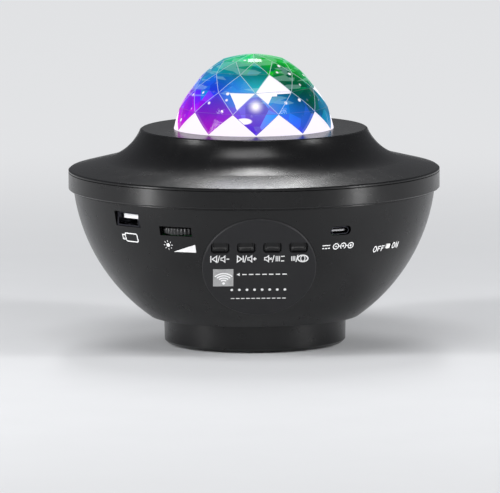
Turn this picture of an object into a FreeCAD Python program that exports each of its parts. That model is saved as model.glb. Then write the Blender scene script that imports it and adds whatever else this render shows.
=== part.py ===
import FreeCAD, Part
import math
import os
from FreeCAD import Placement, Rotation, Vector

# Star projector: a round bowl on an upright foot, a sloped cover and a clear faceted dome.
# Millimetres, +Z up, origin at the centre of the feet, front with the controls toward -Y.

# Allowances, and the flats of small repeated fasteners
fastener_flat_count = 6
screw_hole_flat_count = 12
overrun = 1.0
slip = 0.15
running_fit = 0.05
thread_fit = 0.02
free_gap = 0.35

# Housing heights, from the table up
pad_stand = 0.8
base_height = 12.2
bowl_height = 56.7
bead_height = 1.0
band_height = 8.0
cover_height = 19.2
rim_edge = 1.0
neck_gap = 1.0

# Housing outline
base_radius = 41.2
base_taper = 0.3
base_chamfer = 1.2
bowl_heel = 6.2
bowl_rim_radius = 81.6
bead_proud = 0.7
bead_edge = 0.25
band_proud = 2.4
band_edge = 0.4
rim_edge_width = 0.7
cover_slope_rise = 8.15
scotia_radius = 23.7
plateau_radius = 51.3
plateau_edge = 0.5

# Housing walls
base_wall = 2.2
base_floor = 2.0
bowl_wall = 2.2
bowl_floor = 2.2
band_wall = 3.2
neck_wall = 3.0
cover_wall = 2.2

# Snap hooks of the top cover, which catch under the bowl's neck
hook_count = 6
hook_width = 9.0
hook_thickness = 1.7
hook_barb = 1.0
barb_height = 2.0

# Feet and base screws
pad_radius = 4.0
pad_inset = 8.2
foot_count = 4
base_post_radius = 3.8
base_boss_radius = 3.6
base_boss_height = 9.0
base_screw_seat = 3.4
base_screw_bite = 6.5
base_screw_head = (2.5, 1.7)
base_screw_shank = 1.25

# Loudspeaker in the foot, facing down
speaker_clear = 1.2
speaker_flange_width = 6.0
speaker_flange = 1.2
gasket_thickness = 0.8
gasket_width = 2.2
basket_foot_inset = 3.7
basket_depth = 7.7
basket_wall = 1.2
basket_slant_wall = 1.5
basket_top_inset = 12.5
basket_window = 9.0
basket_windows = 4
basket_rim = 1.4
magnet_radius = 14.0
magnet_height = 5.3
yoke_overhang = 1.0
yoke_thickness = 1.5
magnet_bore = 7.4
pole_radius = 5.0
cone_edge_gap = 2.0
cone_lift = 0.6
cone_height = 5.6
cone_thickness = 0.6
coil_wall = 0.9
coil_gap = 0.5
coil_length = 7.0
cap_bulge = 1.4
surround_seam = 0.1
surround_thickness = 0.5
surround_roll = 0.9
surround_crown = 0.8
speaker_screws_count = 4
speaker_screw_inset = 2.0
speaker_screw_head = (1.6, 1.1)
speaker_screw_shank = 0.9
speaker_screw_bite = 1.4
grille_inset = 2.0
grille_slot_width = 2.0
grille_pitch = 4.2

# Control panel, a flat disc on a collar of the bowl
panel_radius = 25.6
panel_thickness = 2.0
panel_tilt = 26.0
panel_level = 29.8
panel_proud = 0.5
panel_edge = 0.4
collar_depth = 8.0
collar_wall = 1.6
panel_room = 0.3
panel_post_radius = 2.2
panel_post_inset = 7.0
panel_post_angles = (90.0, -35.0, -125.0)

# Push buttons
button_names = ("volume_down_button", "volume_up_button", "mute_button", "lamp_mode_button")
button_row_share = 0.40625
button_side_margin = 0.68
button_spacing = 4.0
button_height = 5.1
button_corner = 1.1
button_gap = 0.25
button_sink = 0.7
button_scoop_radius = 9.5
button_lip = 0.8
button_lip_thickness = 1.0
button_stem_radius = 1.6
button_stem = 2.25
button_travel = 0.5

# Button board, key switches and infrared parts
button_board_thickness = 1.6
button_board_gap = 0.4
key_side_share = 0.385
key_height = 3.5
key_actuator_radius = 1.75
key_actuator = 0.4
ir_window_side = 9.1
ir_window_place_share = (-0.629, -0.207)
ir_window_behind = 0.6
ir_body = (5.6, 6.8, 5.0)
ir_lens_radius = 1.8
small_screw_head = (1.9, 1.2)
small_screw_shank = 0.95
small_screw_bite = 4.5

# Main board
board_level = 44.5
board_thickness = 1.6
board_margin = 1.0
board_back = 15.0
board_notch_depth = 21.0
board_post_radius = 3.2
board_post_inset = 15.5
board_post_azimuths = (-95.0, -60.0, 60.0, 95.0)

# Main board's chips, capacitors and connectors: sizes, and places as shares of the board's radius
chip_sizes = ((10.0, 10.0, 1.4), (6.0, 5.0, 1.2), (5.0, 4.0, 1.2))
chip_place_shares = ((0.0, -0.32), (0.22, -0.12), (-0.24, -0.1))
can_sizes = ((3.2, 8.0), (3.2, 8.0))
can_place_shares = ((0.5, -0.22), (0.62, -0.1))
connector_size = (8.0, 5.0, 5.5)
connector_place_shares = ((-0.3, 0.12), (0.0, 0.12), (0.3, 0.12))

# USB-A socket
usb_a_azimuth = -47.0
usb_a_width = 13.2
usb_a_height = 5.9
usb_a_length = 14.0
usb_a_wall = 0.4
usb_a_lip = (14.2, 6.4, 0.8)
usb_a_riser = 2.85
usb_a_clear = (0.6, 0.2)
usb_a_setback = 1.2
usb_a_tongue = (11.1, 1.9, 9.0)
usb_a_tongue_rise = 1.0

# USB-C socket
usb_c_azimuth = 27.5
usb_c_width = 8.94
usb_c_height = 3.26
usb_c_length = 10.0
usb_c_wall = 0.3
usb_c_clear = (0.78, 0.42)
usb_c_setback = 1.0
usb_c_tongue = (6.7, 0.7, 6.0)
socket_block = 2.5

# Dimmer thumbwheel
dimmer_azimuth = -28.1
wheel_radius = 10.0
wheel_thickness = 3.0
wheel_lift = 0.4
wheel_proud = 0.2
wheel_ribs = 36
wheel_rib_depth = 0.5
wheel_slot_width = 16.0
wheel_slot_clear = 0.6
wheel_stub_radius = 2.0
wheel_stub = 1.5
pot_radius = 4.0
pot_depth = 1.6

# Power switch
switch_azimuth = 50.5
switch_level = 36.5
switch_body = (9.0, 4.6, 3.6)
switch_behind = 0.3
switch_card = (21.0, 6.2, 1.2)
switch_boss_radius = 2.0
switch_boss_spread = 8.0
switch_pocket_depth = 1.8
slider_base = (3.6, 2.6, 1.2)
slider_knob = (2.8, 2.0)
slider_proud = 0.4
slider_travel = 2.0
slider_clear = 0.2

# Dome
plateau_ledge = 15.25
dome_collar = 0.4
dome_rise = 33.2
dome_sides = 10
dome_radius_shares = (1.0, 0.925, 0.775, 0.583, 0.385)
dome_height_shares = (0.0, 0.271, 0.545, 0.773, 0.925)
dome_wall = 1.5
dome_flange_width = 2.5
dome_flange = 1.6
dome_fit = 0.2

# Clamp ring under the dome
clamp_thickness = 1.7
clamp_lap = 3.0
clamp_width = 9.0
clamp_screw_inset = 3.0
clamp_screws_count = 3
clamp_boss_radius = 2.6
clamp_screw_bite = 2.4

# Light deck under the top cover
deck_drop = 15.9
deck_clear = 7.0
deck_thickness = 2.0
deck_rim = 3.0
deck_rim_wall = 1.6
deck_boss_radius = 3.2
deck_boss_inset = 4.0
deck_screws_count = 3
deck_screw_bite = 4.5

# Heat sink, LED board, LEDs and lenses
sink_radius = 28.8
sink_plate = 2.5
sink_lap = 6.3
fin_count = 7
fin_thickness = 1.3
fin_height = 9.0
fin_pitch = 5.6
sink_screw_inset = 2.9
sink_screws_count = 3
led_board_inset = 5.8
led_board_thickness = 1.6
led_count = 4
led_circle = 15.5
led_side = 3.5
led_height = 1.4
lens_foot_radius = 3.4
lens_radius = 5.0
lens_height = 3.9

# Central post, laser and ripple disc
post_radius = 5.0
post_shoulder = 1.4
post_flange_radius = 7.5
post_flange = 1.6
post_above_disc = 7.8
laser_radius = 3.2
laser_length = 17.0
laser_below_cap = 4.2
grating_thickness = 1.0
grating_radius = 4.6
cap_wall = 1.1
cap_aperture = 3.0
disc_inset = 2.0
disc_thickness = 2.0
disc_lift = 0.5
bush_wall = 1.6
bush_above_disc = 0.6

# Gear drive of the ripple disc
gear_module = 0.9
gear_teeth = 60
pinion_teeth = 12
pressure_angle = 25.0
addendum_share = 0.9
dedendum_share = 1.2
backlash = 0.16
gear_width = 2.5
gear_rim = 3.0
pinion_width = 2.1
shaft_radius = 1.0

# Drive motor under the deck
motor_radius = 8.5
motor_length = 14.0
motor_ear_spread = 12.5
motor_ear_radius = 3.0
motor_ear = 0.9
motor_boss_radius = 2.6
motor_boss = 1.4
motor_shaft_inside = 6.0
motor_screw_bite = 1.6

# Levels and places worked out from the sizes above
origin = Vector(0, 0, 0)
up = Vector(0, 0, 1)
quarter_turn = 90.0
full_turn = 360.0
base_bottom = pad_stand
base_inside = base_bottom + base_floor
bowl_bottom = base_bottom + base_height
bowl_top = bowl_bottom + bowl_height
band_bottom = bowl_top + bead_height
band_top = band_bottom + band_height
plateau = band_top + cover_height
bowl_foot_radius = base_radius + bowl_heel
bowl_ball_centre = ((bowl_rim_radius ** 2 - bowl_foot_radius ** 2 + bowl_top ** 2 - bowl_bottom ** 2)
                    / (2 * (bowl_top - bowl_bottom)))
bowl_ball_radius = math.hypot(bowl_foot_radius, bowl_ball_centre - bowl_bottom)
dome_radius = plateau_radius - plateau_ledge
bead_radius = bowl_rim_radius + bead_proud
band_radius = bowl_rim_radius + band_proud
band_inner = band_radius - band_wall
neck_outer = band_inner - slip
neck_inner = neck_outer - neck_wall
neck_top = band_top - neck_gap
pad_circle = base_radius - pad_inset
board_top = bowl_bottom + board_level
board_bottom = board_top - board_thickness
deck_top = plateau - deck_drop
sink_top = deck_top + sink_plate
led_board_top = sink_top + led_board_thickness
disc_bottom = led_board_top + lens_height + disc_lift
disc_top = disc_bottom + disc_thickness
gear_bottom = disc_bottom - gear_width
bush_top = disc_top + bush_above_disc
post_top = disc_top + post_above_disc
flange_top = plateau - cover_wall
clamp_top = flange_top - dome_flange
clamp_bottom = clamp_top - clamp_thickness
clamp_circle = dome_radius + clamp_width - clamp_screw_inset
disc_radius = dome_radius - clamp_lap - disc_inset
pinion_bottom = gear_bottom + (gear_width - pinion_width) / 2
gear_pitch_radius = gear_module * gear_teeth / 2
pinion_pitch_radius = gear_module * pinion_teeth / 2
motor_place = Vector(0, gear_pitch_radius + pinion_pitch_radius, 0)


def cylinder(radius, low, high, place=origin):
    """Upright round bar between two heights."""
    return Part.makeCylinder(radius, high - low, Vector(place.x, place.y, low))


def tube(outer, inner, low, high, place=origin):
    """Upright round tube between two heights."""
    return cylinder(outer, low, high, place).cut(cylinder(inner, low - overrun, high + overrun, place))


def block(width, depth, low, high, place=origin):
    """Upright box, centred on its place, between two heights."""
    corner = Vector(place.x - width / 2, place.y - depth / 2, low)
    return Part.makeBox(width, depth, high - low, corner)


def peg(radius, low, high, place=origin, flat_count=fastener_flat_count):
    """Upright bar with flats between two heights, for fasteners, bosses and screw holes."""
    corners = []
    for flat in range(flat_count):
        angle = 2 * math.pi * flat / flat_count
        corners.append(Vector(place.x + radius * math.cos(angle), place.y + radius * math.sin(angle), low))
    return Part.Face(Part.makePolygon(corners + [corners[0]])).extrude(up * (high - low))


def on_circle(radius, azimuth):
    """Place on a circle round the axis; azimuth 0 is the front and grows toward +X."""
    angle = math.radians(azimuth)
    return Vector(radius * math.sin(angle), -radius * math.cos(angle), 0)


def spread(count, first=0.0):
    """Azimuths of evenly spaced copies."""
    return [first + full_turn * step / count for step in range(count)]


def turned(shape, azimuth):
    """Copy of a shape drawn at the front, turned round the axis."""
    copy = shape.copy()
    copy.rotate(origin, up, azimuth)
    return copy


def joined(shapes):
    """One solid from several that meet."""
    return shapes[0].fuse(shapes[1:]).removeSplitter()


def section_point(point):
    """Point of an upright section through the axis, given as radius and height."""
    return Vector(point[0], 0, point[1])


def line(start, end):
    """Straight edge of a section."""
    return Part.LineSegment(section_point(start), section_point(end)).toShape()


def arc(start, middle, end):
    """Round edge of a section."""
    return Part.Arc(section_point(start), section_point(middle), section_point(end)).toShape()


def revolved(edges):
    """Solid of revolution from the closed edges of a section."""
    return Part.Face(Part.Wire(edges)).revolve(origin, up, full_turn)


def turned_profile(points):
    """Solid of revolution from a section with straight sides."""
    loop = list(points) + [points[0]]
    return revolved([line(loop[i], loop[i + 1]) for i in range(len(points))])


def arc_point(centre, radius, angle):
    """Point of an arc in a section, by its angle from the outward direction."""
    return centre[0] + radius * math.cos(angle), centre[1] + radius * math.sin(angle)


def rounded_bar(width, height, corner, start, end):
    """Bar with a rounded rectangular section in the local X-Y plane, between two local heights."""
    corner = min(corner, width / 2 - thread_fit, height / 2 - thread_fit)
    x, y = width / 2 - corner, height / 2 - corner
    slant = corner * math.sqrt(0.5)
    edges = []
    for sx, sy, along in ((1, 1, 1), (-1, 1, 0), (-1, -1, 1), (1, -1, 0)):
        side = Vector(sx * (x + corner), sy * y, start)
        top = Vector(sx * x, sy * (y + corner), start)
        first, last = (side, top) if along else (top, side)
        middle = Vector(sx * (x + slant), sy * (y + slant), start)
        if edges:
            edges.append(Part.LineSegment(edges[-1].Vertexes[-1].Point, first).toShape())
        edges.append(Part.Arc(first, middle, last).toShape())
    edges.append(Part.LineSegment(edges[-1].Vertexes[-1].Point, edges[0].Vertexes[0].Point).toShape())
    return Part.Face(Part.Wire(edges)).extrude(Vector(0, 0, end - start))


def on_wall(shape, out_radius, height, tilt, azimuth=0.0):
    """Moves a shape drawn face up at height 0 onto the wall, where it looks out and down by tilt."""
    copy = shape.copy()
    onto_wall = Placement(Vector(0, -out_radius, height), Rotation(Vector(1, 0, 0), quarter_turn + tilt))
    copy.Placement = onto_wall * copy.Placement
    return turned(copy, azimuth)


def screw(head, shank_radius, length, place, seat, direction):
    """Screw with its head against the seat; direction 1 points up and -1 down."""
    head_radius, head_height = head
    head_end, tip = seat - direction * head_height, seat + direction * length
    return joined([peg(head_radius, min(seat, head_end), max(seat, head_end), place),
                   peg(shank_radius, min(seat, tip), max(seat, tip), place)])


def group(shapes):
    """Several separate solids in one node."""
    return Part.makeCompound(shapes)


def bowl_radius(height, depth=0.0):
    """Radius of the bowl's wall at a height, that far inside its outer face."""
    return math.sqrt((bowl_ball_radius - depth) ** 2 - (bowl_ball_centre - height) ** 2)


def bowl_tilt(height):
    """How far the bowl's wall looks down at a height, in degrees."""
    return math.degrees(math.asin((bowl_ball_centre - height) / bowl_ball_radius))


def bowl_zone(depth, low, high):
    """Slice of the bowl's ball between two heights, that far inside its outer face."""
    ball = Part.makeSphere(bowl_ball_radius - depth, Vector(0, 0, bowl_ball_centre))
    return ball.common(cylinder(bowl_ball_radius, low, high))


panel_height = bowl_bottom + panel_level
panel_top_height = panel_height + panel_radius * math.cos(math.radians(panel_tilt))
panel_out = (bowl_radius(panel_top_height) + panel_proud / math.cos(math.radians(panel_tilt))
             - panel_radius * math.sin(math.radians(panel_tilt)))
switch_height = bowl_bottom + switch_level


def base_cover():
    """Upright foot with a tapered wall, a slotted floor over the loudspeaker and screw posts."""
    foot = base_radius - base_taper
    cover = turned_profile([(0, base_bottom), (foot - base_chamfer, base_bottom),
                            (foot, base_bottom + base_chamfer),
                            (base_radius, bowl_bottom), (base_radius - base_wall, bowl_bottom),
                            (foot - base_wall, base_inside), (0, base_inside)])
    seat = base_bottom + base_screw_seat
    places = [on_circle(pad_circle, azimuth) for azimuth in base_screw_azimuths()]
    cover = cover.fuse([peg(base_post_radius, base_bottom, bowl_bottom, place) for place in places])
    cuts = [peg(base_screw_head[0] + slip, base_bottom - overrun, seat, place, screw_hole_flat_count)
            for place in places]
    cuts += [peg(base_screw_shank + slip, base_bottom, bowl_bottom + overrun, place) for place in places]
    cuts += [peg(speaker_screw_shank + thread_fit, base_inside - speaker_screw_bite, base_inside + overrun,
                 speaker_screw_place(azimuth)) for azimuth in speaker_screw_azimuths()]
    return cover.cut(cuts + grille_slots()).removeSplitter()


def grille_slots():
    """Parallel slots through the floor, clipped to the grille's circle."""
    rows = int((grille_radius - grille_slot_width) / grille_pitch)
    low, high = base_bottom - overrun, base_inside + overrun
    ring = cylinder(grille_radius, low, high)
    return [block(2 * grille_radius, grille_slot_width, low, high,
                  Vector(0, row * grille_pitch, 0)).common(ring)
            for row in range(-rows, rows + 1)]


def base_screw_azimuths():
    """The base screws stand between the feet."""
    return spread(foot_count, full_turn / foot_count / 2)


def base_screws():
    """Screws from below through the posts into the bowl's bosses."""
    seat = base_bottom + base_screw_seat
    length = bowl_bottom - seat + base_screw_bite
    return group([screw(base_screw_head, base_screw_shank, length, on_circle(pad_circle, azimuth), seat, 1)
                  for azimuth in base_screw_azimuths()])


def rubber_feet():
    """Round pads stuck to the underside."""
    return group([cylinder(pad_radius, 0, base_bottom, on_circle(pad_circle, azimuth))
                  for azimuth in spread(foot_count)])


gasket_top = base_inside + gasket_thickness
speaker_flange_top = gasket_top + speaker_flange
basket_top = speaker_flange_top + basket_depth
basket_back = basket_top + basket_wall
speaker_radius = pad_circle - base_post_radius - speaker_clear
speaker_opening = speaker_radius - speaker_flange_width
basket_top_radius = speaker_radius - basket_top_inset
grille_radius = speaker_opening - grille_inset
cone_radius = speaker_opening - cone_edge_gap
cone_bottom = gasket_top + cone_lift
coil_inner = pole_radius + coil_gap
coil_outer = coil_inner + coil_wall


def speaker_screw_azimuths():
    """The loudspeaker's screws stand at the same bearings as the feet."""
    return spread(speaker_screws_count)


def speaker_screw_place(azimuth):
    """Place of one loudspeaker screw."""
    return on_circle(speaker_radius - speaker_screw_inset, azimuth)


def speaker_gasket():
    """Foam ring between the loudspeaker and the floor."""
    return tube(speaker_opening + gasket_width, speaker_opening, base_inside, gasket_top)


def speaker_frame():
    """Pressed basket: flat flange, sloped wall with windows and a back plate."""
    foot = speaker_radius - basket_foot_inset
    frame = turned_profile([(speaker_opening, gasket_top), (speaker_radius, gasket_top),
                            (speaker_radius, speaker_flange_top), (foot, speaker_flange_top),
                            (basket_top_radius, basket_back), (magnet_bore, basket_back),
                            (magnet_bore, basket_top), (basket_top_radius - basket_wall, basket_top),
                            (foot - basket_slant_wall, speaker_flange_top),
                            (speaker_opening, speaker_flange_top)])
    windows = [turned(block(basket_window, 2 * speaker_flange_width + basket_window,
                            speaker_flange_top + basket_rim, basket_top - basket_rim,
                            Vector(0, -speaker_opening, 0)), azimuth)
               for azimuth in spread(basket_windows)]
    holes = [peg(speaker_screw_shank + slip, base_inside, speaker_flange_top + overrun,
                 speaker_screw_place(azimuth))
             for azimuth in speaker_screw_azimuths()]
    return frame.cut(windows + holes)


def speaker_magnet():
    """Ring magnet with its yoke plate and pole piece."""
    magnet_top = basket_back + magnet_height
    parts = [tube(magnet_radius, magnet_bore, basket_back, magnet_top),
             cylinder(magnet_radius + yoke_overhang, magnet_top, magnet_top + yoke_thickness),
             cylinder(pole_radius, basket_top, magnet_top)]
    return joined(parts)


def speaker_cone():
    """Paper cone with its dust cap and coil former."""
    cone_top = cone_bottom + cone_height
    cap_tip = cone_top - cap_bulge
    return turned_profile([(0, cap_tip), (coil_outer, cone_top), (cone_radius, cone_bottom),
                           (cone_radius, cone_bottom + cone_thickness),
                           (coil_outer, cone_top + cone_thickness), (coil_outer, cone_top + coil_length),
                           (coil_inner, cone_top + coil_length), (coil_inner, cone_top + cone_thickness),
                           (0, cap_tip + cone_thickness)])


def speaker_surround():
    """Rubber half roll between the cone's edge and the basket."""
    inner, outer = cone_radius + surround_seam, speaker_opening
    middle = (inner + outer) / 2
    low, high = cone_bottom, cone_bottom + surround_thickness
    crown = surround_crown / 2
    return turned_profile([(inner, low), (middle - crown, low + surround_roll),
                           (middle + crown, low + surround_roll),
                           (outer, low), (outer, high), (middle + crown, high + surround_roll),
                           (middle - crown, high + surround_roll), (inner, high)])


def speaker_screws():
    """Screws that hold the loudspeaker's flange to the floor."""
    length = speaker_flange_top - base_inside + speaker_screw_bite
    return group([screw(speaker_screw_head, speaker_screw_shank, length, speaker_screw_place(azimuth),
                        speaker_flange_top, -1) for azimuth in speaker_screw_azimuths()])


def bowl_solid():
    """The bowl's outer form, filled: ball, bead and the neck inside the trim band."""
    neck = turned_profile([(0, bowl_top), (bowl_rim_radius, bowl_top), (bead_radius, bowl_top + bead_edge),
                           (bead_radius, band_bottom - bead_edge), (bowl_rim_radius, band_bottom),
                           (neck_outer, band_bottom), (neck_outer, neck_top), (0, neck_top)])
    return bowl_zone(0, bowl_bottom, bowl_top).fuse(neck)


def bowl_hollow():
    """The room inside the bowl, with a ledge under the neck for the snap hooks."""
    return bowl_zone(bowl_wall, bowl_bottom + bowl_floor, bowl_top).fuse(
        cylinder(neck_inner, bowl_top, neck_top + overrun))


def bowl_shell():
    """Lower housing with the panel's collar, board posts, base bosses and the windows."""
    filled = bowl_solid()
    shell = filled.cut(bowl_hollow())
    shell = shell.fuse(on_panel(cylinder(panel_radius, -collar_depth, -panel_thickness)))
    board_places = [on_circle(board_post_circle(), azimuth) for azimuth in board_post_azimuths]
    base_places = [on_circle(pad_circle, azimuth) for azimuth in base_screw_azimuths()]
    adds = [peg(board_post_radius, bowl_bottom, board_bottom, place).common(filled)
            for place in board_places]
    adds += [peg(base_boss_radius, bowl_bottom, bowl_bottom + base_boss_height, place)
             for place in base_places]
    adds += [switch_on_wall(peg(switch_boss_radius, -switch_back(), -bowl_wall / 2, place))
             for place in switch_boss_places()]
    shell = shell.fuse(adds)
    cuts = [on_panel(cylinder(panel_radius - collar_wall, -collar_depth - overrun, overrun)),
            on_panel(cylinder(panel_radius + slip, -panel_thickness, panel_radius)),
            on_panel(group([moved(button_opening(-lip_front - button_travel - slip), place)
                            for place in button_places()])),
            cylinder(speaker_radius + slip, bowl_bottom - overrun, bowl_bottom + bowl_floor + overrun)]
    cuts += [peg(small_screw_shank + thread_fit, board_bottom - small_screw_bite,
                 board_bottom + overrun, place)
             for place in board_places]
    cuts += [peg(base_screw_shank + thread_fit, bowl_bottom - overrun, bowl_bottom + base_screw_bite, place)
             for place in base_places]
    cuts += wall_windows()
    return shell.cut(cuts).removeSplitter()


def wall_windows():
    """Windows for the sockets, the thumbwheel and the power knob, with the switch card's screw holes."""
    lip_width, lip_height = usb_a_lip[:2]
    reach = 2 * bowl_wall + usb_a_setback
    usb_a = block(lip_width + 2 * usb_a_clear[0], lip_height + 2 * usb_a_clear[1], -reach, reach)
    usb_c_tall = usb_c_height + 2 * usb_c_clear[1]
    usb_c = rounded_bar(usb_c_width + 2 * usb_c_clear[0], usb_c_tall, usb_c_tall / 2, -reach, reach)
    slot = block(wheel_slot_width, wheel_thickness + 2 * wheel_slot_clear, -reach, reach)
    knob_width, knob_height = slider_knob
    knob = block(knob_width + slider_travel + 2 * slider_clear, knob_height + 2 * slider_clear, -reach,
                 reach)
    pilots = [switch_on_wall(peg(small_screw_shank + thread_fit, -switch_back() - overrun,
                                 -switch_back() + switch_screw_bite(), place))
              for place in switch_boss_places()]
    return [on_wall(usb_a, bowl_radius(usb_a_centre), usb_a_centre, 0, usb_a_azimuth),
            on_wall(usb_c, bowl_radius(usb_c_centre), usb_c_centre, 0, usb_c_azimuth),
            on_wall(slot, bowl_radius(wheel_centre), wheel_centre, 0, dimmer_azimuth),
            switch_on_wall(knob)] + pilots


def on_panel(shape):
    """Moves a shape drawn face up onto the control panel, whose face is at local height 0."""
    return on_wall(shape, panel_out, panel_height, panel_tilt)


def control_panel():
    """Flat round panel with button windows, a window for the infrared lens and screw posts behind."""
    disc = turned_profile([(0, -panel_thickness), (panel_radius, -panel_thickness),
                           (panel_radius, -panel_edge),
                           (panel_radius - panel_edge, 0), (0, 0)])
    posts = [peg(panel_post_radius, -button_board_front, -panel_thickness, place)
             for place in panel_post_places()]
    cuts = [moved(button_opening(-panel_thickness - overrun), place) for place in button_places()]
    cuts.append(block(ir_window_side + slip, ir_window_side + slip, -panel_thickness - overrun, overrun,
                      Vector(*ir_window_place)))
    cuts += [peg(small_screw_shank + thread_fit, -button_board_front - overrun,
                 -button_board_front + small_screw_bite, place) for place in panel_post_places()]
    return on_panel(joined([disc] + posts).cut(cuts))


def moved(shape, place):
    """Copy of a shape moved by a vector."""
    copy = shape.copy()
    copy.translate(place)
    return copy


button_row = button_row_share * panel_radius
button_reach = math.sqrt(panel_radius ** 2 - (button_row + button_height / 2) ** 2) - button_side_margin
button_pitch = (2 * button_reach + button_spacing) / len(button_names)
button_width = button_pitch - button_spacing
key_side = key_side_share * button_pitch
ir_window_place = (ir_window_place_share[0] * panel_radius, ir_window_place_share[1] * panel_radius)


def button_places():
    """Places of the four buttons in the panel's own plane."""
    middle = (len(button_names) - 1) / 2
    return [Vector((number - middle) * button_pitch, button_row, 0) for number in range(len(button_names))]


def panel_post_places():
    """Places of the panel's screw posts in its own plane."""
    radius = panel_radius - panel_post_inset
    return [Vector(radius * math.cos(math.radians(angle)), radius * math.sin(math.radians(angle)), 0)
            for angle in panel_post_angles]


lip_front = panel_thickness + free_gap
lip_back = lip_front + button_lip_thickness
stem_end = lip_back + button_stem
key_top = stem_end + button_travel + slip
key_base = key_top + key_actuator
button_board_front = key_base + key_height
button_board_back = button_board_front + button_board_thickness
button_board_radius = panel_radius - collar_wall - button_board_gap


def button_opening(depth):
    """Room for a button's cap, from above the panel down to this local height."""
    return rounded_bar(button_width + 2 * button_gap, button_height + 2 * button_gap,
                       button_corner + button_gap,
                       depth, overrun)


def push_button(place):
    """Button with a scooped face, a lip behind the panel and a stem over its key switch."""
    cap = rounded_bar(button_width, button_height, button_corner, -lip_front, -button_sink)
    scoop = Part.makeCylinder(button_scoop_radius, 2 * button_height,
                              Vector(0, -button_height, button_scoop_radius - button_sink - button_travel),
                              Vector(0, 1, 0))
    lip = block(button_width + 2 * button_lip, button_height + 2 * button_lip, -lip_back, -lip_front)
    room = cylinder(panel_radius - collar_wall - panel_room, -lip_back, -lip_front)
    stem = peg(button_stem_radius, -stem_end, -lip_back)
    return on_panel(joined([moved(cap.cut(scoop), place), moved(lip, place).common(room),
                            moved(stem, place)]))


def button_board():
    """Round circuit board behind the panel."""
    board = cylinder(button_board_radius, -button_board_back, -button_board_front)
    holes = [peg(small_screw_shank + slip, -button_board_back - overrun, -button_board_front + overrun,
                 place)
             for place in panel_post_places()]
    return on_panel(board.cut(holes))


def key_switches():
    """One key switch behind each button."""
    switches = []
    for place in button_places():
        body = block(key_side, key_side, -button_board_front, -key_base, place)
        actuator = peg(key_actuator_radius, -key_base, -key_top, place)
        switches.append(on_panel(joined([body, actuator])))
    return group(switches)


def ir_receiver():
    """Infrared receiver with its round-nosed lens, standing on the button board behind the window."""
    width, depth, height = ir_body
    place = Vector(*ir_window_place)
    front = -button_board_front + height
    body = block(width, depth, -button_board_front, front, place)
    nose = Part.makeCylinder(ir_lens_radius, depth, Vector(place.x, place.y - depth / 2, front),
                             Vector(0, 1, 0))
    return on_panel(joined([body, nose]))


def ir_window():
    """Pale square window that lets the remote's signal in."""
    lens = block(ir_window_side, ir_window_side, -panel_thickness - ir_window_behind, 0)
    return on_panel(moved(lens, Vector(*ir_window_place)))


def button_board_screws():
    """Screws from behind through the button board into the panel's posts."""
    return group([on_panel(screw(small_screw_head, small_screw_shank,
                                 button_board_thickness + small_screw_bite,
                                 place, -button_board_back, 1)) for place in panel_post_places()])


usb_a_centre = board_top + usb_a_riser + usb_a_height / 2
usb_c_centre = board_top + usb_c_height / 2
wheel_bottom = board_top + wheel_lift
wheel_centre = wheel_bottom + wheel_thickness / 2
wheel_axis_radius = bowl_radius(wheel_centre) + wheel_proud - wheel_radius
wheel_place = on_circle(wheel_axis_radius, dimmer_azimuth)


def board_radius():
    """The main board stays this far inside the bowl's wall."""
    return bowl_radius(board_bottom, bowl_wall) - board_margin


def board_post_circle():
    """Circle of the posts under the main board."""
    return board_radius() - board_post_inset


def main_board():
    """Half-moon circuit board across the front of the bowl, notched round the button board."""
    board = cylinder(board_radius(), board_bottom, board_top)
    span = 2 * bowl_rim_radius
    behind = block(span, span, board_bottom - overrun, board_top + overrun,
                   Vector(0, board_back + span / 2, 0))
    notch = block(2 * panel_radius, 2 * board_notch_depth, board_bottom - overrun, board_top + overrun,
                  Vector(0, -board_radius(), 0))
    holes = [peg(small_screw_shank + slip, board_bottom - overrun, board_top + overrun,
                 on_circle(board_post_circle(), azimuth)) for azimuth in board_post_azimuths]
    holes.append(cylinder(pot_radius + slip, board_bottom - overrun, board_top + overrun, wheel_place))
    return board.cut([behind, notch] + holes)


def board_screws():
    """Screws that hold the main board to its posts."""
    return group([screw(small_screw_head, small_screw_shank, board_thickness + small_screw_bite,
                        on_circle(board_post_circle(), azimuth), board_top, -1)
                  for azimuth in board_post_azimuths])


def board_components():
    """Chips, capacitors and lead connectors on the main board."""
    parts = []
    for (width, depth, height), (right, back) in zip(chip_sizes, chip_place_shares):
        place = Vector(right * board_radius(), back * board_radius(), 0)
        parts.append(block(width, depth, board_top, board_top + height, place))
    for (radius, height), (right, back) in zip(can_sizes, can_place_shares):
        place = Vector(right * board_radius(), back * board_radius(), 0)
        parts.append(cylinder(radius, board_top, board_top + height, place))
    width, depth, height = connector_size
    for right, back in connector_place_shares:
        place = Vector(right * board_radius(), back * board_radius(), 0)
        parts.append(block(width, depth, board_top, board_top + height, place))
    return group(parts)


def facing_front(shape, front_radius, height, azimuth):
    """Places a socket part drawn with its mouth at local height 0, looking level out of the wall."""
    return on_wall(shape, front_radius, height, 0, azimuth)


def usb_a_front():
    """Radius of the USB-A shell's mouth."""
    return bowl_radius(usb_a_centre) - usb_a_setback


def usb_a_shell():
    """Folded metal shell with a flared lip."""
    lip_width, lip_height, lip_length = usb_a_lip
    shell = block(usb_a_width, usb_a_height, -usb_a_length, 0)
    shell = shell.fuse(block(lip_width, lip_height, -lip_length, 0))
    cavity = block(usb_a_width - 2 * usb_a_wall, usb_a_height - 2 * usb_a_wall, -usb_a_length - overrun,
                   overrun)
    return facing_front(shell.cut(cavity).removeSplitter(), usb_a_front(), usb_a_centre, usb_a_azimuth)


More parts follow.
